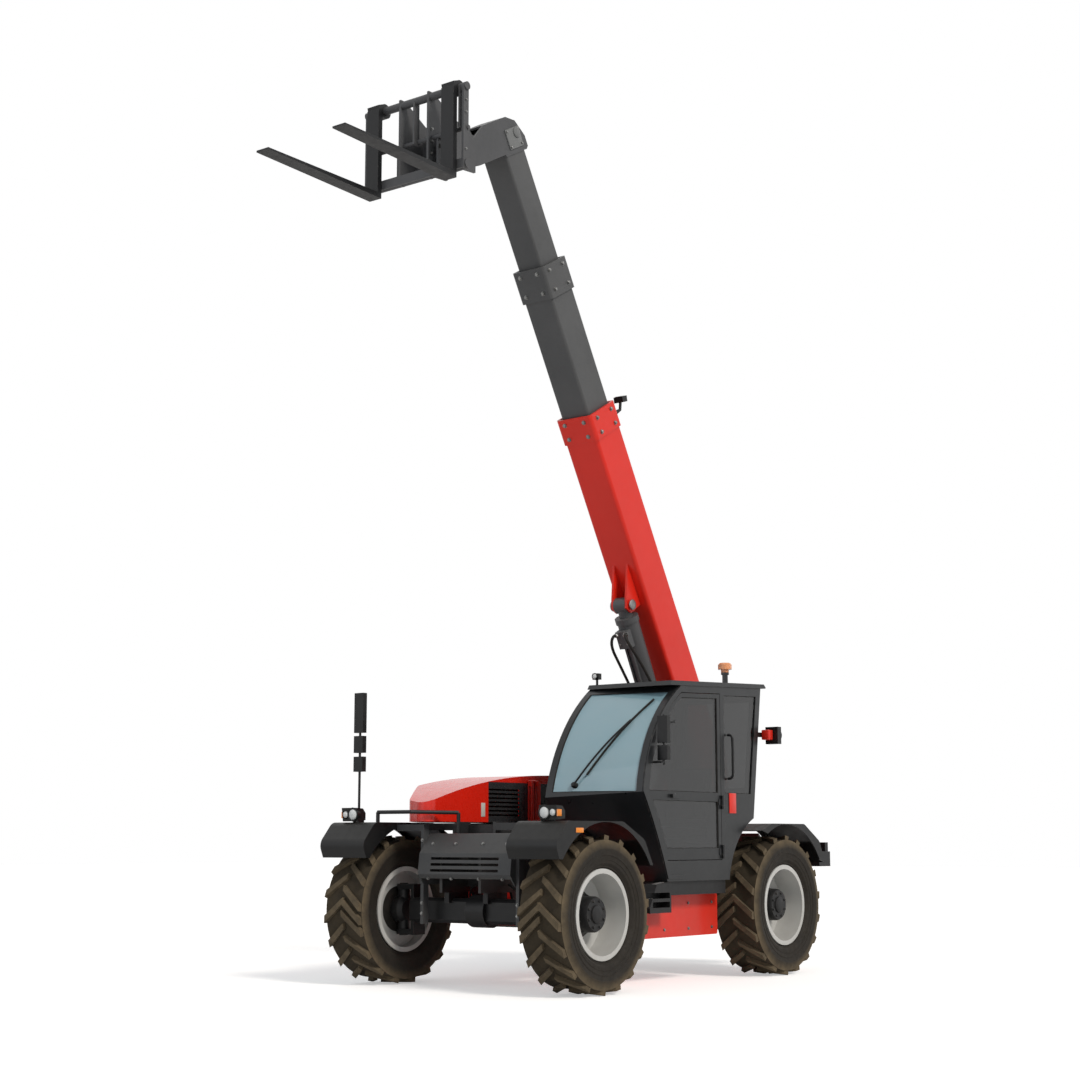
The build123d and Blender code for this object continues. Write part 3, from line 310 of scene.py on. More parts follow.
silver = {end: paint(f"rim_paint_{end}", "C9CAC8", "BDBEBB", dust, 0.36, 0.3, 0.2, 0.3, hub(x))
          for end, x in (("front", front_axle), ("rear", rear_axle))}
iron = paint("engine_iron", "2B2C2D", "3C3A37", "5B5348", 0.6, 0.4)
tyre = {end: rubber(f"tyre_rubber_{end}", "161514", "211F1D", "6A5E4B", 0.95, x)
        for end, x in (("front", front_axle), ("rear", rear_axle))}
trim = plastic("black_plastic", "121314", "45413A", 0.36)
rubber_black = rubber("seal_rubber", "141415", "1E1E1E", "3D3831", 0.2)
hose = rubber("hose_rubber", "161617", "222222", "4A453D", 0.2)
rod_chrome = metal("rod_chrome", "D8D8DA", "B0ADA6", 0.1, 0.14, (1, 1, 0.1))
zinc = metal("zinc_bolts", "8E8F8E", "717170", 0.34, 0.2)
mirror_glass = metal("mirror_glass", "DDE3E6", "C8CED2", 0.03, 0.04)
# The windscreen's pale blue base colour and its paler dusty patches are a painted reflection of the sky, not
# a tint of the glass.
glass = window("windscreen_glass_painted_reflection", "9DC3D0", "AFC6CC", 0.55, 0.3)
side_glass = window("side_glass", "0B0D0E", "1B1E20", 0.68, 0.2)
amber = lens("amber_lens", "F28C1E", 0.15, 0.15)
beacon_amber = lens("beacon_amber", "F28C1E", 0.15, 0.0, 0.1, beacon_foot)
clear = lens("clear_lens", "E6EAEA", 0.08)
red_lens = lens("red_lens", "B8140E", 0.12)
seat_cloth = fabric("seat_cloth", "26272A", "3B3D41")

finishes = {
    "chassis_frame": red, "side_box": box_red, "bonnet": bonnet_red, "boom_base": boom_red,
    "boom_mid": boom_grey, "boom_inner": boom_grey, "boom_head": dark_grey, "fork_frame": dark_grey,
    "fork_left": black, "fork_right": black, "lift_barrel": dark_grey, "lift_rod": rod_chrome,
    "tilt_barrel": dark_grey, "tilt_rod": rod_chrome, "front_cover": grey, "cab_step": black,
    "front_axle": black, "rear_axle": black, "cab_shell": cab_black, "cab_roof": cab_black,
    "counterweight": black, "door_panel": cab_black, "steering_column": trim, "engine": iron,
    "front_fenders": trim, "rear_fenders": trim, "mirrors": trim, "door_mirror": trim,
    "engine_panels": trim, "guard_tube": black, "boom_lamp": trim, "lamps": trim,
    "windscreen": glass, "cab_windows": side_glass, "door_glass": side_glass,
    "seat": seat_cloth, "beacon": beacon_amber,
}
for name, node in nodes.items():
    end = "front" if "front" in name else "rear"
    if name.startswith("tyre"):
        material = tyre[end]
    elif name.startswith("rim"):
        material = silver[end]
    elif name.startswith("knuckle"):
        material = black
    else:
        material = finishes[name]
    node.data.materials.clear()
    node.data.materials.append(material)


# Added pieces
def basis(axis):
    return Vector(axis).normalized().to_track_quat("Z", "Y").to_matrix().to_4x4()


class Piece:
    """A mesh gathered from worked forms, made into one object that rides on a body."""

    def __init__(self, name, material, slot, body):
        self.name, self.material, self.slot, self.body = name, material, slot, body
        self.mesh = bmesh.new()

    def revolve(self, centre, axis, profile, sides=24, ring=False):
        """A turned form from (distance along the axis, radius) pairs, closed on itself for a ring."""
        turn = Matrix.Translation(centre) @ basis(axis)
        rings = []
        for along, radius in profile:
            circle = []
            for i in range(sides):
                a = 2 * math.pi * i / sides
                place = Vector((radius * math.cos(a), radius * math.sin(a), along))
                circle.append(self.mesh.verts.new(turn @ place))
            rings.append(circle)
        for low, high in zip(rings, rings[1:] + rings[:1] if ring else rings[1:]):
            for i in range(sides):
                j = (i + 1) % sides
                self.mesh.faces.new((low[i], low[j], high[j], high[i]))
        if not ring:
            self.mesh.faces.new(rings[0][::-1])
            self.mesh.faces.new(rings[-1])

    def bolt(self, centre, axis, radius, height):
        """A hexagon head with a chamfered top, on a washer."""
        self.revolve(centre, axis, [(0, radius * 1.3), (height * 0.18, radius * 1.3)], 16)
        head = [(height * 0.18, radius), (height * 0.85, radius), (height, radius * 0.8)]
        self.revolve(centre, axis, head, 6)

    def prism(self, outline, depth, bevel=0.004, steps=2):
        """A polygon pushed along a vector, with rounded edges."""
        depth = Vector(depth)
        low = [self.mesh.verts.new(Vector(p)) for p in outline]
        high = [self.mesh.verts.new(Vector(p) + depth) for p in outline]
        count = len(low)
        made = [self.mesh.faces.new(low[::-1]), self.mesh.faces.new(high)]
        for i in range(count):
            j = (i + 1) % count
            made.append(self.mesh.faces.new((low[i], low[j], high[j], high[i])))
        bmesh.ops.recalc_face_normals(self.mesh, faces=made)
        if bevel:
            edges = list(dict.fromkeys(e for f in made for e in f.edges))
            bmesh.ops.bevel(self.mesh, geom=edges, offset=bevel, segments=steps, affect="EDGES", profile=0.5)

    def bar(self, centre, along, across, up, bevel=0.004, steps=2):
        """A rounded block about a centre, from its three full-size edge vectors."""
        along, across, up = Vector(along), Vector(across), Vector(up)
        corner = Vector(centre) - (along + across + up) / 2
        self.prism([corner, corner + along, corner + along + across, corner + across], up, bevel, steps)

    def done(self, smooth=40):
        mesh = bpy.data.meshes.new(self.name)
        bmesh.ops.recalc_face_normals(self.mesh, faces=self.mesh.faces[:])
        self.mesh.to_mesh(mesh)
        self.mesh.free()
        mesh.shade_smooth()
        mesh.set_sharp_from_angle(angle=math.radians(smooth))
        return settle(bpy.data.objects.new(self.name, mesh), self.material, self.body)


def settle(piece, material, body):
    piece.data.materials.append(material)
    bpy.context.collection.objects.link(piece)
    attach(piece, body)
    return piece


def tube(name, runs, radius, material, body, cyclic=False, kind="NURBS"):
    """Round tubes that follow smooth lines through control points, or seals along an edge."""
    curve = bpy.data.curves.new(name, "CURVE")
    curve.dimensions = "3D"
    curve.bevel_depth = radius
    curve.bevel_resolution = 3 if kind == "NURBS" else 1
    curve.use_fill_caps = True
    curve.resolution_u = 6
    for points in runs:
        spline = curve.splines.new(kind)
        spline.points.add(len(points) - 1)
        for point, place in zip(spline.points, points):
            point.co = (*place, 1)
        spline.use_cyclic_u = cyclic
        if kind == "NURBS":
            spline.order_u = 3
            spline.use_endpoint_u = True
    return settle(bpy.data.objects.new(name, curve), material, body)


def solid_of(name):
    made = bmesh.new()
    made.from_mesh(nodes[name].data)
    bmesh.ops.remove_doubles(made, verts=made.verts[:], dist=0.00005)
    made.normal_update()
    return made


trees = {}


def touch(name, start, direction):
    """Where a line from a point first meets a node, and the way that face looks."""
    if name not in trees:
        trees[name] = BVHTree.FromBMesh(solid_of(name))
    place, normal, _, _ = trees[name].ray_cast(Vector(start), Vector(direction))
    return place, normal


def rims_of(name, outward):
    """The closed lines round the outer faces of a node's panes of glass, in the mesh's own order."""
    glass_mesh = solid_of(name)
    skin = [f for f in glass_mesh.faces if outward(f)]
    count = {}
    for face in skin:
        for edge in face.edges:
            count[edge] = count.get(edge, 0) + 1
    left = [edge for edge, times in count.items() if times == 1]
    loops = []
    while left:
        edge = left.pop(0)
        first, here = edge.verts
        loop = [first.co.copy(), here.co.copy()]
        while here != first:
            following = [e for e in here.link_edges if e in left]
            if not following:
                break
            left.remove(following[0])
            here = following[0].other_vert(here)
            if here != first:
                loop.append(here.co.copy())
        if len(loop) > 3:
            loops.append(loop)
    glass_mesh.free()
    return loops


# Wheels: nuts and hub bolts, a valve, and ribs moulded into the sidewalls
for end, axle_x in (("front", front_axle), ("rear", rear_axle)):
    for hand, s in (("left", 1), ("right", -1)):
        wheel = f"{end}_{hand}"
        hub_centre = Vector((axle_x, s * wheel_y, axle_z))
        out = Y * s
        fittings = Piece(f"hub_fittings_{wheel}", black, "black_paint", f"wheel_{wheel}")
        for ring_count, ring_radius, lift, size in ((10, 0.148, -0.046, 0.016), (8, 0.1, 0.104, 0.01)):
            for i in range(ring_count):
                a = 2 * math.pi * (i + 0.5) / ring_count
                spoke = X * math.cos(a) + Z * math.sin(a)
                fittings.bolt(hub_centre + spoke * ring_radius + out * lift, out, size, size * 1.3)
        fittings.revolve(hub_centre, out, [
            (-0.02, 0.126), (0.0, 0.134), (0.088, 0.131), (0.1, 0.122), (0.106, 0.12), (0.106, 0.07),
            (0.118, 0.066), (0.124, 0.055), (0.124, 0.02)], 40)
        valve_foot = hub_centre + X * 0.27 - out * 0.064
        fittings.revolve(valve_foot, out, [(0, 0.009), (0.03, 0.007), (0.05, 0.005)], 12)
        fittings.done()
        ribs = Piece(f"sidewall_ribs_{wheel}", tyre[end], "tyre_rubber", f"wheel_{wheel}")
        for radius, size in ((0.35, 0.005), (0.4, 0.003), (0.435, 0.004)):
            place, _ = touch(f"tyre_{wheel}", hub_centre + Z * radius + out * 0.4, -out)
            lift = (place - hub_centre).dot(out)
            ribs.revolve(hub_centre + out * (lift - 0.004), out, [
                (0, radius - 2 * size), (0.004 + size * 0.8, radius - size),
                (0.004 + size * 0.8, radius + size), (0, radius + 2 * size)], 72, True)
        ribs.done()

# Glass seals, and the wiper on the windscreen
windscreen_rim = rims_of("windscreen", lambda f: f.normal.x > 0.35)
tube("windscreen_seal", windscreen_rim, 0.007, rubber_black, "chassis", True, "POLY")


def looks_out(face):
    """Whether a pane's face looks away from the cab, to a side or to the rear."""
    sideways = abs(face.normal.y) > 0.9 and face.normal.y * face.calc_center_median().y > 0
    return sideways or face.normal.x < -0.9


side_rims = rims_of("cab_windows", looks_out)
tube("cab_window_seals", side_rims, 0.006, rubber_black, "chassis", True, "POLY")
tube("door_window_seals", rims_of("door_glass", lambda f: f.normal.y > 0.9), 0.006, rubber_black,
     "door", True, "POLY")


def on_screen(y, z, lift):
    place, normal = touch("windscreen", at(3, y, z), -X)
    return place + normal * lift


wiper = [on_screen(0.47 + 0.34 * t, 1.54 + 0.5 * t, 0.03 + 0.015 * math.sin(math.pi * t)) for t in
         (0, 0.2, 0.4, 0.6, 0.8, 1)]
tube("wiper_arm", [wiper], 0.008, trim, "chassis")
blade = [on_screen(0.56 + 0.34 * t, 1.62 + 0.6 * t, 0.012) for t in (0, 0.2, 0.4, 0.6, 0.8, 1)]
tube("wiper_blade", [blade], 0.009, rubber_black, "chassis")
wiper_motor = Piece("wiper_pivot", trim, "black_plastic", "chassis")
pivot_place = on_screen(0.47, 1.54, 0)
wiper_motor.revolve(pivot_place - X * 0.01, X + Z * 0.3, [(0, 0.026), (0.03, 0.024), (0.042, 0.016)], 20)
wiper_motor.done()

# Mirror glass, on the faces that look to the rear
for name, body, x, y, heads in (
    ("right_mirror_glass", "chassis", 1.578, -1.065, ((1.97, 2.29), (1.81, 1.945), (1.66, 1.78))),
    ("door_mirror_glass", "door", 0.448, 1.108, ((1.87, 2.08), (1.735, 1.85))),
):
    mirror = Piece(name, mirror_glass, "black_plastic", body)
    for low, high in heads:
        mirror.bar(at(x - 0.001, y, (low + high) / 2), X * 0.006, Y * 0.078, Z * (high - low - 0.02), 0.002)
    mirror.done()

# Lamps: clear lenses in front, red and amber ones behind, and side markers
shells = Piece("lamp_rings", trim, "black_plastic", "chassis")
lights = Piece("lamp_lenses", clear, "amber_lens", "chassis")
ambers = Piece("marker_lenses", amber, "amber_lens", "chassis")
reds = Piece("tail_lenses", red_lens, "amber_lens", "chassis")
dome = [(0, 0.043), (0.01, 0.042), (0.018, 0.034), (0.022, 0.018), (0.0235, 0.004)]
bezel = [(-0.03, 0.05), (0.012, 0.055), (0.016, 0.05), (0.012, 0.043), (0.0, 0.043)]
for s in (1, -1):
    for y in (0.945, 1.022):
        size = 1.0 if y < 1 else 0.62
        face = at(1.79, s * y, 1.318)
        shells.revolve(face, X, [(a, r * size) for a, r in bezel])
        lights.revolve(face, X, [(a, r * size) for a, r in dome])
    ambers.bar(at(1.775, s * 1.063, 1.315), X * 0.05, Y * 0.012, Z * 0.05, 0.004)
    ambers.bar(at(1.66, s * 1.162, 1.19), X * 0.09, Y * 0.008, Z * 0.035, 0.003)
    ambers.bar(at(-2.313, s * 0.9, 1.06), X * 0.008, Y * 0.045, Z * 0.055, 0.003)
    reds.bar(at(-2.313, s * 0.96, 1.06), X * 0.008, Y * 0.065, Z * 0.055, 0.003)
for face, way in ((at(0.215, 0.27, 2.45), X), (at(-1.28, 1.09, 2.005), -X)):
    size = 0.5 if way.x > 0 else 1.1
    shells.revolve(face, way, [(a, r * size) for a, r in bezel])
    lights.revolve(face, way, [(a, r * size) for a, r in dome])
for piece in (shells, lights, ambers, reds):
    piece.done()
boom_light = Piece("boom_lamp_lens", clear, "amber_lens", "boom_base_body")
boom_light.bar(on_boom(3.405, 0.1425, 0.366), boom_dir * 0.012 + boom_up * -0.05, Y * 0.075,
               (boom_dir * 0.05 + boom_up * 0.012) * 0.12, 0.002)
boom_light.done()
red_arm = Piece("rear_lamp_arm", box_red, "red_paint", "chassis")
red_arm.bar(at(-1.175, 1.073, 2.005), X * 0.075, Y * 0.072, Z * 0.085, 0.008)
red_arm.done()

# Plain panels: one on the post behind the door, one by the bonnet's split
panel = Piece("post_panel", box_red, "red_paint", "chassis")
panel.bar(at(-0.66, 1.033, 1.42), X * 0.105, Y * 0.008, Z * 0.165, 0.003)
panel.done()
pale = paint("pale_panel", "C9C8C2", "BEBDB6", dust, 0.4, 0.2)
plate = Piece("bonnet_side_plate", pale, "rim_paint", "bonnet_lid")
plate.bar(at(0.93, -0.333, 1.36), X * 0.05, Y * 0.006, Z * 0.11, 0.002)
plate.done()

# Boom: wear-pad bolts round both collars
for name, body, end_u, half_w, half_v, rows in (
    ("base_collar_bolts", "boom_base_body", 3.42, 0.184, 0.214, (0.05, 0.18)),
    ("mid_collar_bolts", "boom_mid_body", 4.75, 0.163, 0.193, (0.05, 0.22)),
):
    bolts = Piece(name, zinc, "rod_chrome", body)
    for back in rows:
        for share in (-0.55, 0.55):
            for s in (1, -1):
                bolts.bolt(on_boom(end_u - back, s * half_w, half_v * share), Y * s, 0.015, 0.016)
                bolts.bolt(on_boom(end_u - back, half_w * share, s * half_v), boom_up * s, 0.015, 0.016)
    bolts.done()

# Boom pivot and cylinder pins: end caps with bolts
caps = Piece("pivot_pin_caps", black, "black_paint", "chassis")
for s in (1, -1):
    face = pivot + Y * s * 0.227
    caps.revolve(face, Y * s, [(0, 0.07), (0.012, 0.07), (0.018, 0.062), (0.018, 0.02)], 32)
    for i in range(4):
        a = math.pi * (i + 0.5) / 2
        caps.bolt(face + (X * math.cos(a) + Z * math.sin(a)) * 0.048 + Y * s * 0.016, Y * s, 0.009, 0.01)
caps.done()
lift_pin_u, lift_pin_v = 1.71, -0.345
lift_pins = Piece("lift_pin_caps", zinc, "rod_chrome", "boom_base_body")
for s in (1, -1):
    lift_pins.revolve(on_boom(lift_pin_u, s * 0.1, lift_pin_v), Y * s,
                      [(-0.002, 0.046), (0.008, 0.046), (0.012, 0.04), (0.012, 0.01)])
lift_pins.done()

# Lift cylinder: hoses from its valve block, and pipe clamps
lift_head = on_boom(lift_pin_u, 0, lift_pin_v)
lift_foot = at(-1.85, -0.08, 0.95)
run = (lift_foot - lift_head).normalized()
fore = run.cross(Y)


def on_lift(along, w, v):
    return lift_head + run * along + Y * w + fore * v


tube("lift_hoses", [
    [on_lift(0.22, s * 0.045, 0.14), on_lift(0.2, s * 0.06, 0.19), on_lift(0.3, s * 0.1, 0.21),
     on_lift(0.5, s * 0.115, 0.14), on_lift(0.8, s * 0.12, 0.06), on_lift(1.2, s * 0.12, 0.04),
     on_lift(1.45, s * 0.115, 0.05), on_lift(1.56, s * 0.09, 0.05)] for s in (1, -1)
], 0.013, hose, "lift_barrel_body")
clamps = Piece("lift_fittings", zinc, "rod_chrome", "lift_barrel_body")
for s in (1, -1):
    clamps.bolt(on_lift(0.22, s * 0.045, 0.143), fore, 0.02, 0.03)
    clamps.bolt(on_lift(0.31, s * 0.04, 0.143), fore, 0.011, 0.012)
band = [(-0.02, 0.09), (-0.02, 0.102), (0.02, 0.102), (0.02, 0.09)]
clamps.revolve(on_lift(0.93, 0, 0), run, band, 40, True)
clamps.done()

# Head: a bolted cover on each side, over the tilt cylinder's pin and clear of the coupler
pale_grey = paint("cast_cover_paint", "6C6E6F", "787A7A", dust, 0.42, 0.2)
covers = Piece("head_covers", pale_grey, "grey_paint", "boom_inner_body")
cover_bolts = Piece("head_cover_bolts", zinc, "rod_chrome", "boom_inner_body")
cover_u, cover_v = 5.825, 0.025
for s in (1, -1):
    covers.bar(on_boom(cover_u, s * 0.134, cover_v), boom_dir * 0.17, boom_up * 0.2, Y * 0.014, 0.004)
    covers.revolve(on_boom(cover_u + 0.035, s * 0.141, cover_v + 0.045), Y * s,
                   [(0, 0.045), (0.01, 0.043), (0.016, 0.03)])
    for i in (-1, 1):
        for j in (-1, 1):
            cover_bolts.bolt(on_boom(cover_u + i * 0.066, s * 0.141, cover_v + j * 0.082), Y * s, 0.01, 0.01)
covers.done()
cover_bolts.done()

# Carriage: bolts on its plates, and a hose block with its couplings
carriage_pin = on_boom(5.81, 0, -0.69)


def on_carriage(x, w, z):
    return carriage_pin + Vector((x, w, z))


frame_bolts = Piece("carriage_bolts", zinc, "rod_chrome", "carriage")
for s in (1, -1):
    for x, z in ((0.46, -0.1), (0.46, 0.0), (0.46, 0.1), (0.3, 0.2), (0.16, 0.17)):
        frame_bolts.bolt(on_carriage(x, s * 0.157, z), Y * s, 0.011, 0.012)
    for z in (-0.25, -0.15, 0.15, 0.25):
        frame_bolts.bolt(on_carriage(0.47, s * 0.515, z), Y * s, 0.009, 0.01)
frame_bolts.done()
valve = Piece("coupling_block", dark_grey, "grey_paint", "carriage")
valve.bar(on_carriage(0.3, 0.2, 0.02), X * 0.1, Y * 0.07, Z * 0.11, 0.006)
valve.bar(on_carriage(0.3, 0.16, 0.02), X * 0.06, Y * 0.03, Z * 0.06, 0.004)
for z in (-0.015, 0.05):
    valve.revolve(on_carriage(0.35, 0.2, z), X,
                  [(0, 0.018), (0.03, 0.018), (0.032, 0.013), (0.055, 0.013)], 16)
valve.done()
tube("carriage_hoses", [
    [on_carriage(0.4, 0.2, z), on_carriage(0.43, 0.2, z), on_carriage(0.44, 0.24, z - 0.06),
     on_carriage(0.41, 0.3, z - 0.14), on_carriage(0.36, 0.27, z - 0.2), on_carriage(0.3, 0.2, z - 0.19),
     on_carriage(0.27, 0.165, z - 0.18)] for z in (-0.015, 0.05)
], 0.009, hose, "carriage")

# Front cover, axle and chassis fittings
front_bolts = Piece("front_fittings", zinc, "rod_chrome", "chassis")
for y in (-0.33, -0.1, 0.17, 0.4):
    for z in (1.09, 0.83):
        place, normal = touch("front_cover", at(3, y, z), -X)
        front_bolts.bolt(place, normal, 0.011, 0.012)
for y in (-0.435, 0.505):
    for z in (0.56, 0.64, 1.12):
        front_bolts.bolt(at(1.55, y, z), X, 0.011, 0.012)
front_bolts.done()
ram_x = 1.195
for name, x in (("front_steering_ram", ram_x), ("rear_steering_ram", -ram_x)):
    ram = Piece(name, black, "black_paint", "chassis")
    middle = at(x, 0, 0.58)
    ram.revolve(middle, Y, [(-0.3, 0.03), (-0.3, 0.045), (-0.27, 0.045), (-0.265, 0.038), (0.265, 0.038),
                            (0.27, 0.045), (0.3, 0.045), (0.3, 0.03)], 24)
    for s in (1, -1):
        ram.bar(middle + Y * s * 0.22 + X * (0.04 if x > 0 else -0.04), X * 0.08, Y * 0.05, Z * 0.07, 0.006)
    ram.done()
    tube(f"{name}_hoses", [[middle + Y * s * 0.24 + Z * 0.045, middle + Y * s * 0.25 + Z * 0.12,
                            middle + Y * s * 0.2 + Z * 0.19 + X * 0.03, middle + Y * s * 0.14 + Z * 0.2]
                           for s in (1, -1)], 0.009, hose, "chassis")

# Bonnet latches, and slats over the opening in its rear face
latch = Piece("bonnet_latches", trim, "black_plastic", "bonnet_lid")
for dx in (-0.4, 0.6):
    place, _ = touch("bonnet", at(dx, -3, 1.33), Y)
    latch.bar(place - Y * 0.004, X * 0.1, Y * 0.012, Z * 0.035, 0.004)
    latch.bar(place - Y * 0.014, X * 0.05, Y * 0.012, Z * 0.02, 0.004)
latch.done()
vent = Piece("bonnet_rear_vent", trim, "black_plastic", "bonnet_lid")
for i in range(9):
    place, _ = touch("bonnet", at(-3, -0.66, 1.32 + i * 0.034), X)
    vent.bar(place - X * 0.002, Y * 0.42, X * 0.014 + Z * 0.008, Z * 0.02, 0.003)
for s in (1, -1):
    place, _ = touch("bonnet", at(-3, -0.66 + s * 0.215, 1.4), X)
    vent.bar(place + Z * 0.056, Z * 0.31, X * 0.016, Y * 0.018, 0.004)
vent.done()

# Rear: bolts and a bare plate between the lamps; studs on the steps, and bolts on the side box
rear_fittings = Piece("counterweight_fittings", zinc, "rod_chrome", "chassis")
for y in (-0.4, 0.32):
    for z in (0.62, 1.0):
        place, normal = touch("counterweight", at(-4, y, z), X)
        rear_fittings.bolt(place, normal, 0.02, 0.02)
for y in (-0.9, 0.9):
    for z in (0.92, 0.99):
        place, normal = touch("counterweight", at(-4, y, z), X)
        rear_fittings.bolt(place, normal, 0.01, 0.01)
rear_fittings.done()
blank = Piece("rear_blank_plate", pale, "rim_paint", "chassis")
place, normal = touch("counterweight", at(-4, -0.04, 0.9), X)
blank.bar(place + normal * 0.002, Y * 0.4, Z * 0.11 - X * 0.11 * normal.z / normal.x, normal * 0.006, 0.002)
blank.done()
studs = Piece("step_studs", zinc, "rod_chrome", "chassis")
step_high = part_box("cab_step")[1]
for i in range(14):
    for y in (step_high.y - 0.02, step_high.y - 0.045):
        x = step_high.x - 0.27 + i * 0.018
        place, normal = touch("cab_step", (x, y, step_high.z + 0.4), -Z)
        if place is not None and normal.z > 0.9:
            studs.revolve(place, Z, [(-0.001, 0.006), (0.004, 0.0045), (0.005, 0.002)], 8)
studs.done()
side_bolts = Piece("side_box_bolts", zinc, "rod_chrome", "chassis")
for x in (-0.55, -0.2, 0.15, 0.5):
    for z in (0.42, 0.62):
        place, normal = touch("side_box", at(x, 3, z), -Y)
        if place is not None:
            side_bolts.bolt(place, normal, 0.01, 0.01)
side_bolts.done()

# Door: a lock barrel, and a grab handle on the post behind it
lock = Piece("door_lock", zinc, "rod_chrome", "door")
lock.revolve(at(0.2, 1.03, 1.468), Y, [(0, 0.014), (0.004, 0.014), (0.006, 0.01)], 20)
lock.done()
tube("grab_handles", [
    [at(-0.6, 1.03, 1.62), at(-0.6, 1.075, 1.62), at(-0.6, 1.08, 1.68), at(-0.6, 1.08, 1.92),
     at(-0.6, 1.075, 1.98), at(-0.6, 1.03, 1.98)],
], 0.011, black, "chassis")

# Seat: sewn cushions filled by a short cloth simulation, on a moulded pan
seat_low, seat_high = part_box("seat")
seat_y = (seat_low.y + seat_high.y) / 2
seat_front = seat_high.x - 0.02


cloth_frames = 20
channel_width = 0.012
channel_depth = 0.009


def cushion(name, centre, along, across, thick, swell):
    """A stuffed pad, crowned in the middle, with its corners pulled in and two sewn channels."""
    pad = bmesh.new()
    bmesh.ops.create_grid(pad, x_segments=22, y_segments=22, size=0.5)
    axes = (along.normalized(), across.normalized(), along.cross(across).normalized())
    turn = Matrix(axes).transposed().to_4x4()
    top = pad.faces[:]
    side = bmesh.ops.extrude_face_region(pad, geom=top)
    for vert in (v for v in side["geom"] if isinstance(v, bmesh.types.BMVert)):
        vert.co.z += 1
    for vert in pad.verts:
        x, y = vert.co.x * 2, vert.co.y * 2
        corner = max(0.0, abs(x) + abs(y) - 1.45)
        vert.co.x *= along.length * (1 - 0.09 * corner)
        vert.co.y *= across.length * (1 - 0.09 * corner)
        height = thick * (0.72 + 0.28 * (1 - x ** 4) * (1 - y ** 4))
        vert.co.z = (vert.co.z - 0.5) * height
    bmesh.ops.recalc_face_normals(pad, faces=pad.faces[:])
    mesh = bpy.data.meshes.new(name)
    pad.to_mesh(mesh)
    pad.free()
    piece = bpy.data.objects.new(name, mesh)
    bpy.context.collection.objects.link(piece)
    remesh = piece.modifiers.new("remesh", "REMESH")
    remesh.mode = "VOXEL"
    remesh.voxel_size = 0.008
    flat = bpy.data.meshes.new_from_object(piece.evaluated_get(bpy.context.evaluated_depsgraph_get()))
    piece.modifiers.clear()
    piece.data = flat
    start = [v.co.copy() for v in flat.vertices]
    cloth = piece.modifiers.new("cloth", "CLOTH")
    cloth.settings.use_pressure = True
    cloth.settings.uniform_pressure_force = 4
    cloth.settings.effector_weights.gravity = 0
    for frame_number in range(1, cloth_frames + 1):
        bpy.context.scene.frame_set(frame_number)
    full = bpy.data.meshes.new_from_object(piece.evaluated_get(bpy.context.evaluated_depsgraph_get()))
    piece.modifiers.clear()
    piece.data = full
    for vert, before in zip(full.vertices, start):
        moved = vert.co - before
        if moved.length > swell:
            vert.co = before + moved.normalized() * swell
    bpy.context.scene.frame_set(1)
    half = along.length / 2
    for vert in piece.data.vertices:
        if vert.co.z > 0:
            for line in (-0.42, 0.42):
                away = abs(vert.co.y - line * across.length * 0.62)
                inside = abs(vert.co.x) < half * 0.86
                vert.co.z -= channel_depth * max(0.0, 1 - away / channel_width) * inside
    piece.data.transform(Matrix.Translation(centre) @ turn)
    piece.data.shade_smooth()
    smooth = piece.modifiers.new("smooth", "SUBSURF")
    smooth.levels = smooth.render_levels = 1
    piece.data.materials.clear()
    piece.data.materials.append(seat_cloth)
    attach(piece, "chassis")
    return piece


lean = Vector((-0.19, 0, 0.98)).normalized()
swell = 0.012
base_centre = Vector((seat_front - 0.2, seat_y, 1.178))
back_centre = Vector((seat_front - 0.425, seat_y, 1.49))
cushion_base = cushion("seat_cushion", base_centre, X * 0.4, Y * 0.42, 0.085, swell)
cushion("seat_backrest", back_centre, lean * 0.44, Y * -0.4, 0.07, swell)
pan = Piece("seat_pan", trim, "black_plastic", "chassis")
pan.bar((seat_front - 0.22, seat_y, 1.116), X * 0.44, Y * 0.4, Z * 0.03, 0.008)
pan.bar(Vector((seat_front - 0.475, seat_y, 1.45)), lean * 0.54, Y * 0.38, lean.cross(Y) * 0.028, 0.01)
pan.bar((seat_front - 0.42, seat_y, 1.14), X * 0.09, Y * 0.3, Z * 0.07, 0.008)
for s in (1, -1):
    pan.bar((seat_front - 0.25, seat_y + s * 0.215, 1.3), X * 0.26, Y * 0.028, Z * 0.03, 0.008)
    pan.bar((seat_front - 0.375, seat_y + s * 0.212, 1.22), X * 0.03, Y * 0.02, Z * 0.17, 0.006)
pan.done()
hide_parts("seat")

# Steering column with a round-rimmed wheel, a dashboard hood and a lever
wheel_axis = Vector((-0.5, 0, 0.866))
wheel_centre = at(0.215, 0.64, 1.433)
column = Piece("steering_wheel", trim, "black_plastic", "chassis")
grip_radius, grip_sides = 0.175, 12
grip_angles = [2 * math.pi * i / grip_sides for i in range(grip_sides)]
rim_points = [(0.013 * math.sin(a), grip_radius + 0.014 * math.cos(a)) for a in grip_angles]
column.revolve(wheel_centre, wheel_axis, rim_points, 48, True)
column.revolve(wheel_centre - wheel_axis * 0.06, wheel_axis,
               [(0, 0.033), (0.05, 0.035), (0.062, 0.03), (0.066, 0.02)])
for i in range(3):
    a = 2 * math.pi * i / 3 + math.pi / 2
    spoke = Y * math.cos(a) + wheel_axis.cross(Y) * math.sin(a)
    across = spoke.cross(wheel_axis) * 0.03
    column.bar(wheel_centre + spoke * 0.1, spoke * 0.15, across, wheel_axis * 0.01, 0.003)
outline = [(0.1, 0.8455), (0.24, 0.8455), (0.33, 1.02), (0.33, 1.35), (0.24, 1.4), (0.18, 1.33)]
column.prism([at(x, 0.56, z) for x, z in outline], Y * 0.16, 0.014, 3)
column.bar(at(0.225, 0.64, 1.39), X * 0.05, Y * 0.05, Z * 0.09, 0.008)
steering = column.done()
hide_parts("steering_column")

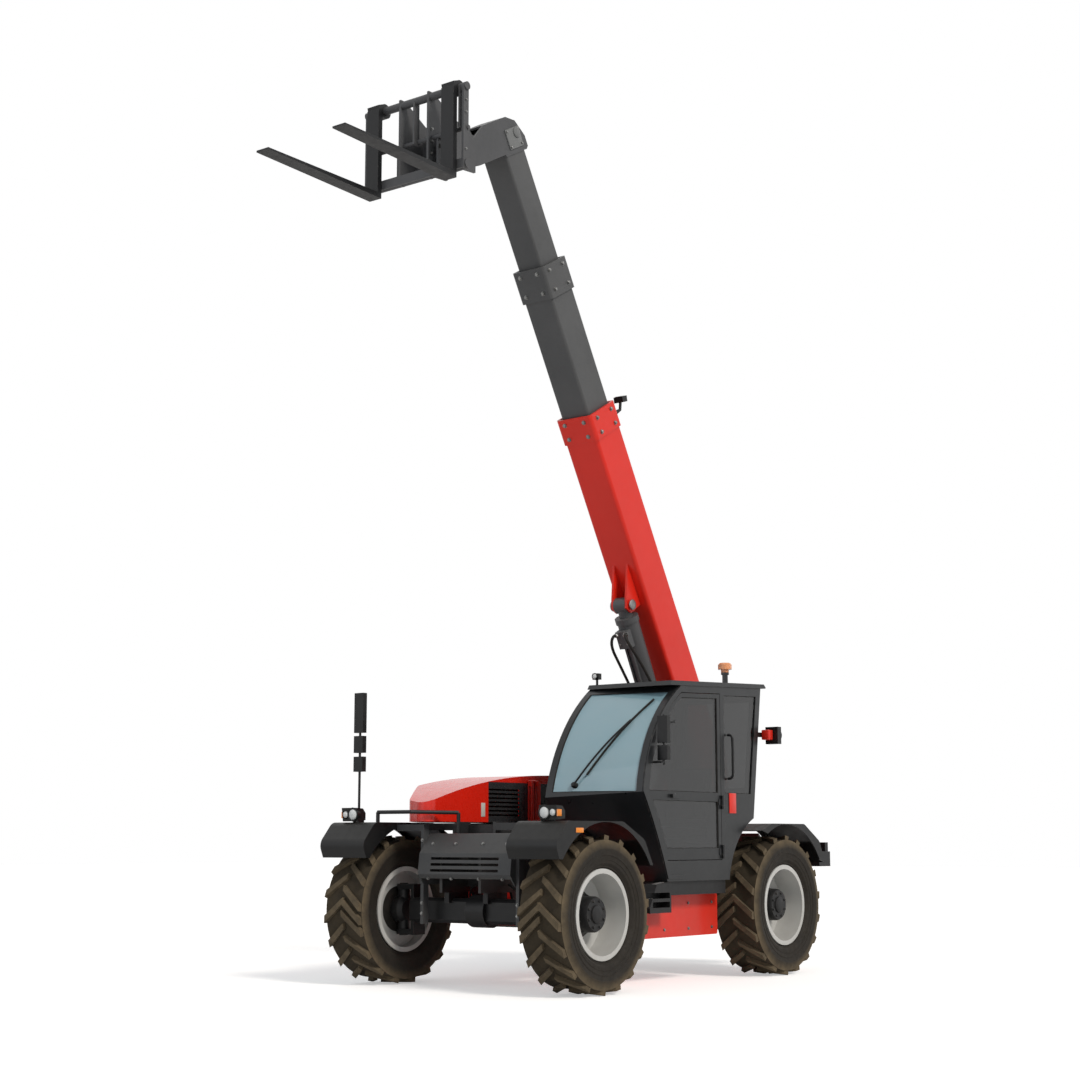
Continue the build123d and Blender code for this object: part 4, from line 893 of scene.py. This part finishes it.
# Stage: a white floor and a white world, with soft light
floor_mesh = bpy.data.meshes.new("floor")
floor_reach = 60
floor_mesh.from_pydata(
    [(x * floor_reach, y * floor_reach, 0) for x, y in ((-1, -1), (1, -1), (1, 1), (-1, 1))], [],
    [(0, 1, 2, 3)]
)
floor = bpy.data.objects.new("floor", floor_mesh)
bpy.context.collection.objects.link(floor)
floor_shader = Shader("floor_white")
floor_shader.set("Base Color", floor_shader.mix(
    floor_shader.ramp(floor_shader.noise(0.6, 6), 0.3, 0.7), srgb("F4F3F1"), srgb("F8F8F7")))
floor_shader.set("Roughness", 0.9)
camera_ray = floor_shader.node("ShaderNodeLightPath").outputs["Is Camera Ray"]
floor_shader.set("Emission Color", (1, 1, 1, 1))
floor_shader.set("Emission Strength", floor_shader.math("MULTIPLY", camera_ray, 0.42))
floor.data.materials.append(floor_shader.material)

world = bpy.data.worlds.new("studio")
bpy.context.scene.world = world
world.use_nodes = True
links = world.node_tree.links
sky = world.node_tree.nodes["Background"]
sky.inputs["Color"].default_value = srgb("E9ECF0")
sky.inputs["Strength"].default_value = 0.42
white = world.node_tree.nodes.new("ShaderNodeBackground")
white.inputs["Color"].default_value = (1, 1, 1, 1)
white.inputs["Strength"].default_value = 1.0
path = world.node_tree.nodes.new("ShaderNodeLightPath")
seen = None
for ray in ("Is Camera Ray", "Is Glossy Ray", "Is Transmission Ray"):
    if seen is None:
        seen = path.outputs[ray]
        continue
    most = world.node_tree.nodes.new("ShaderNodeMath")
    most.operation = "MAXIMUM"
    links.new(seen, most.inputs[0])
    links.new(path.outputs[ray], most.inputs[1])
    seen = most.outputs[0]
choice = world.node_tree.nodes.new("ShaderNodeMixShader")
links.new(seen, choice.inputs[0])
links.new(sky.outputs[0], choice.inputs[1])
links.new(white.outputs[0], choice.inputs[2])
links.new(choice.outputs[0], world.node_tree.nodes["World Output"].inputs["Surface"])


def lamp(name, kind, place, aim, energy, size, colour):
    data = bpy.data.lights.new(name, kind)
    data.energy = energy
    data.color = srgb(colour)[:3]
    if kind == "AREA":
        data.size = size
    else:
        data.angle = size
    made = bpy.data.objects.new(name, data)
    made.location = place
    made.rotation_euler = (Vector(aim) - Vector(place)).to_track_quat("-Z", "Y").to_euler()
    bpy.context.collection.objects.link(made)


lamp("sun", "SUN", at(3, 12, 12), at(0, 0, 2), 1.9, math.radians(14), "FFF8F0")
lamp("fill", "AREA", at(12, -3, 5), at(0, 0, 2), 120, 8, "EFF4FF")

# Camera, worked out from the wheels in the photograph
camera_data = bpy.data.cameras.new("camera")
camera = bpy.data.objects.new("camera", camera_data)
bpy.context.collection.objects.link(camera)
camera.location = at(12.505, 9.088, 1.117)
yaw = 3.79410578
pitch = 0.162098
look = Vector((math.cos(yaw) * math.cos(pitch), math.sin(yaw) * math.cos(pitch), math.sin(pitch)))
camera.rotation_euler = look.to_track_quat("-Z", "Y").to_euler()
camera_data.sensor_width = 36
camera_data.lens = 61.23
camera_data.clip_end = 500
bpy.context.scene.camera = camera
bpy.context.scene.view_settings.view_transform = "Standard"
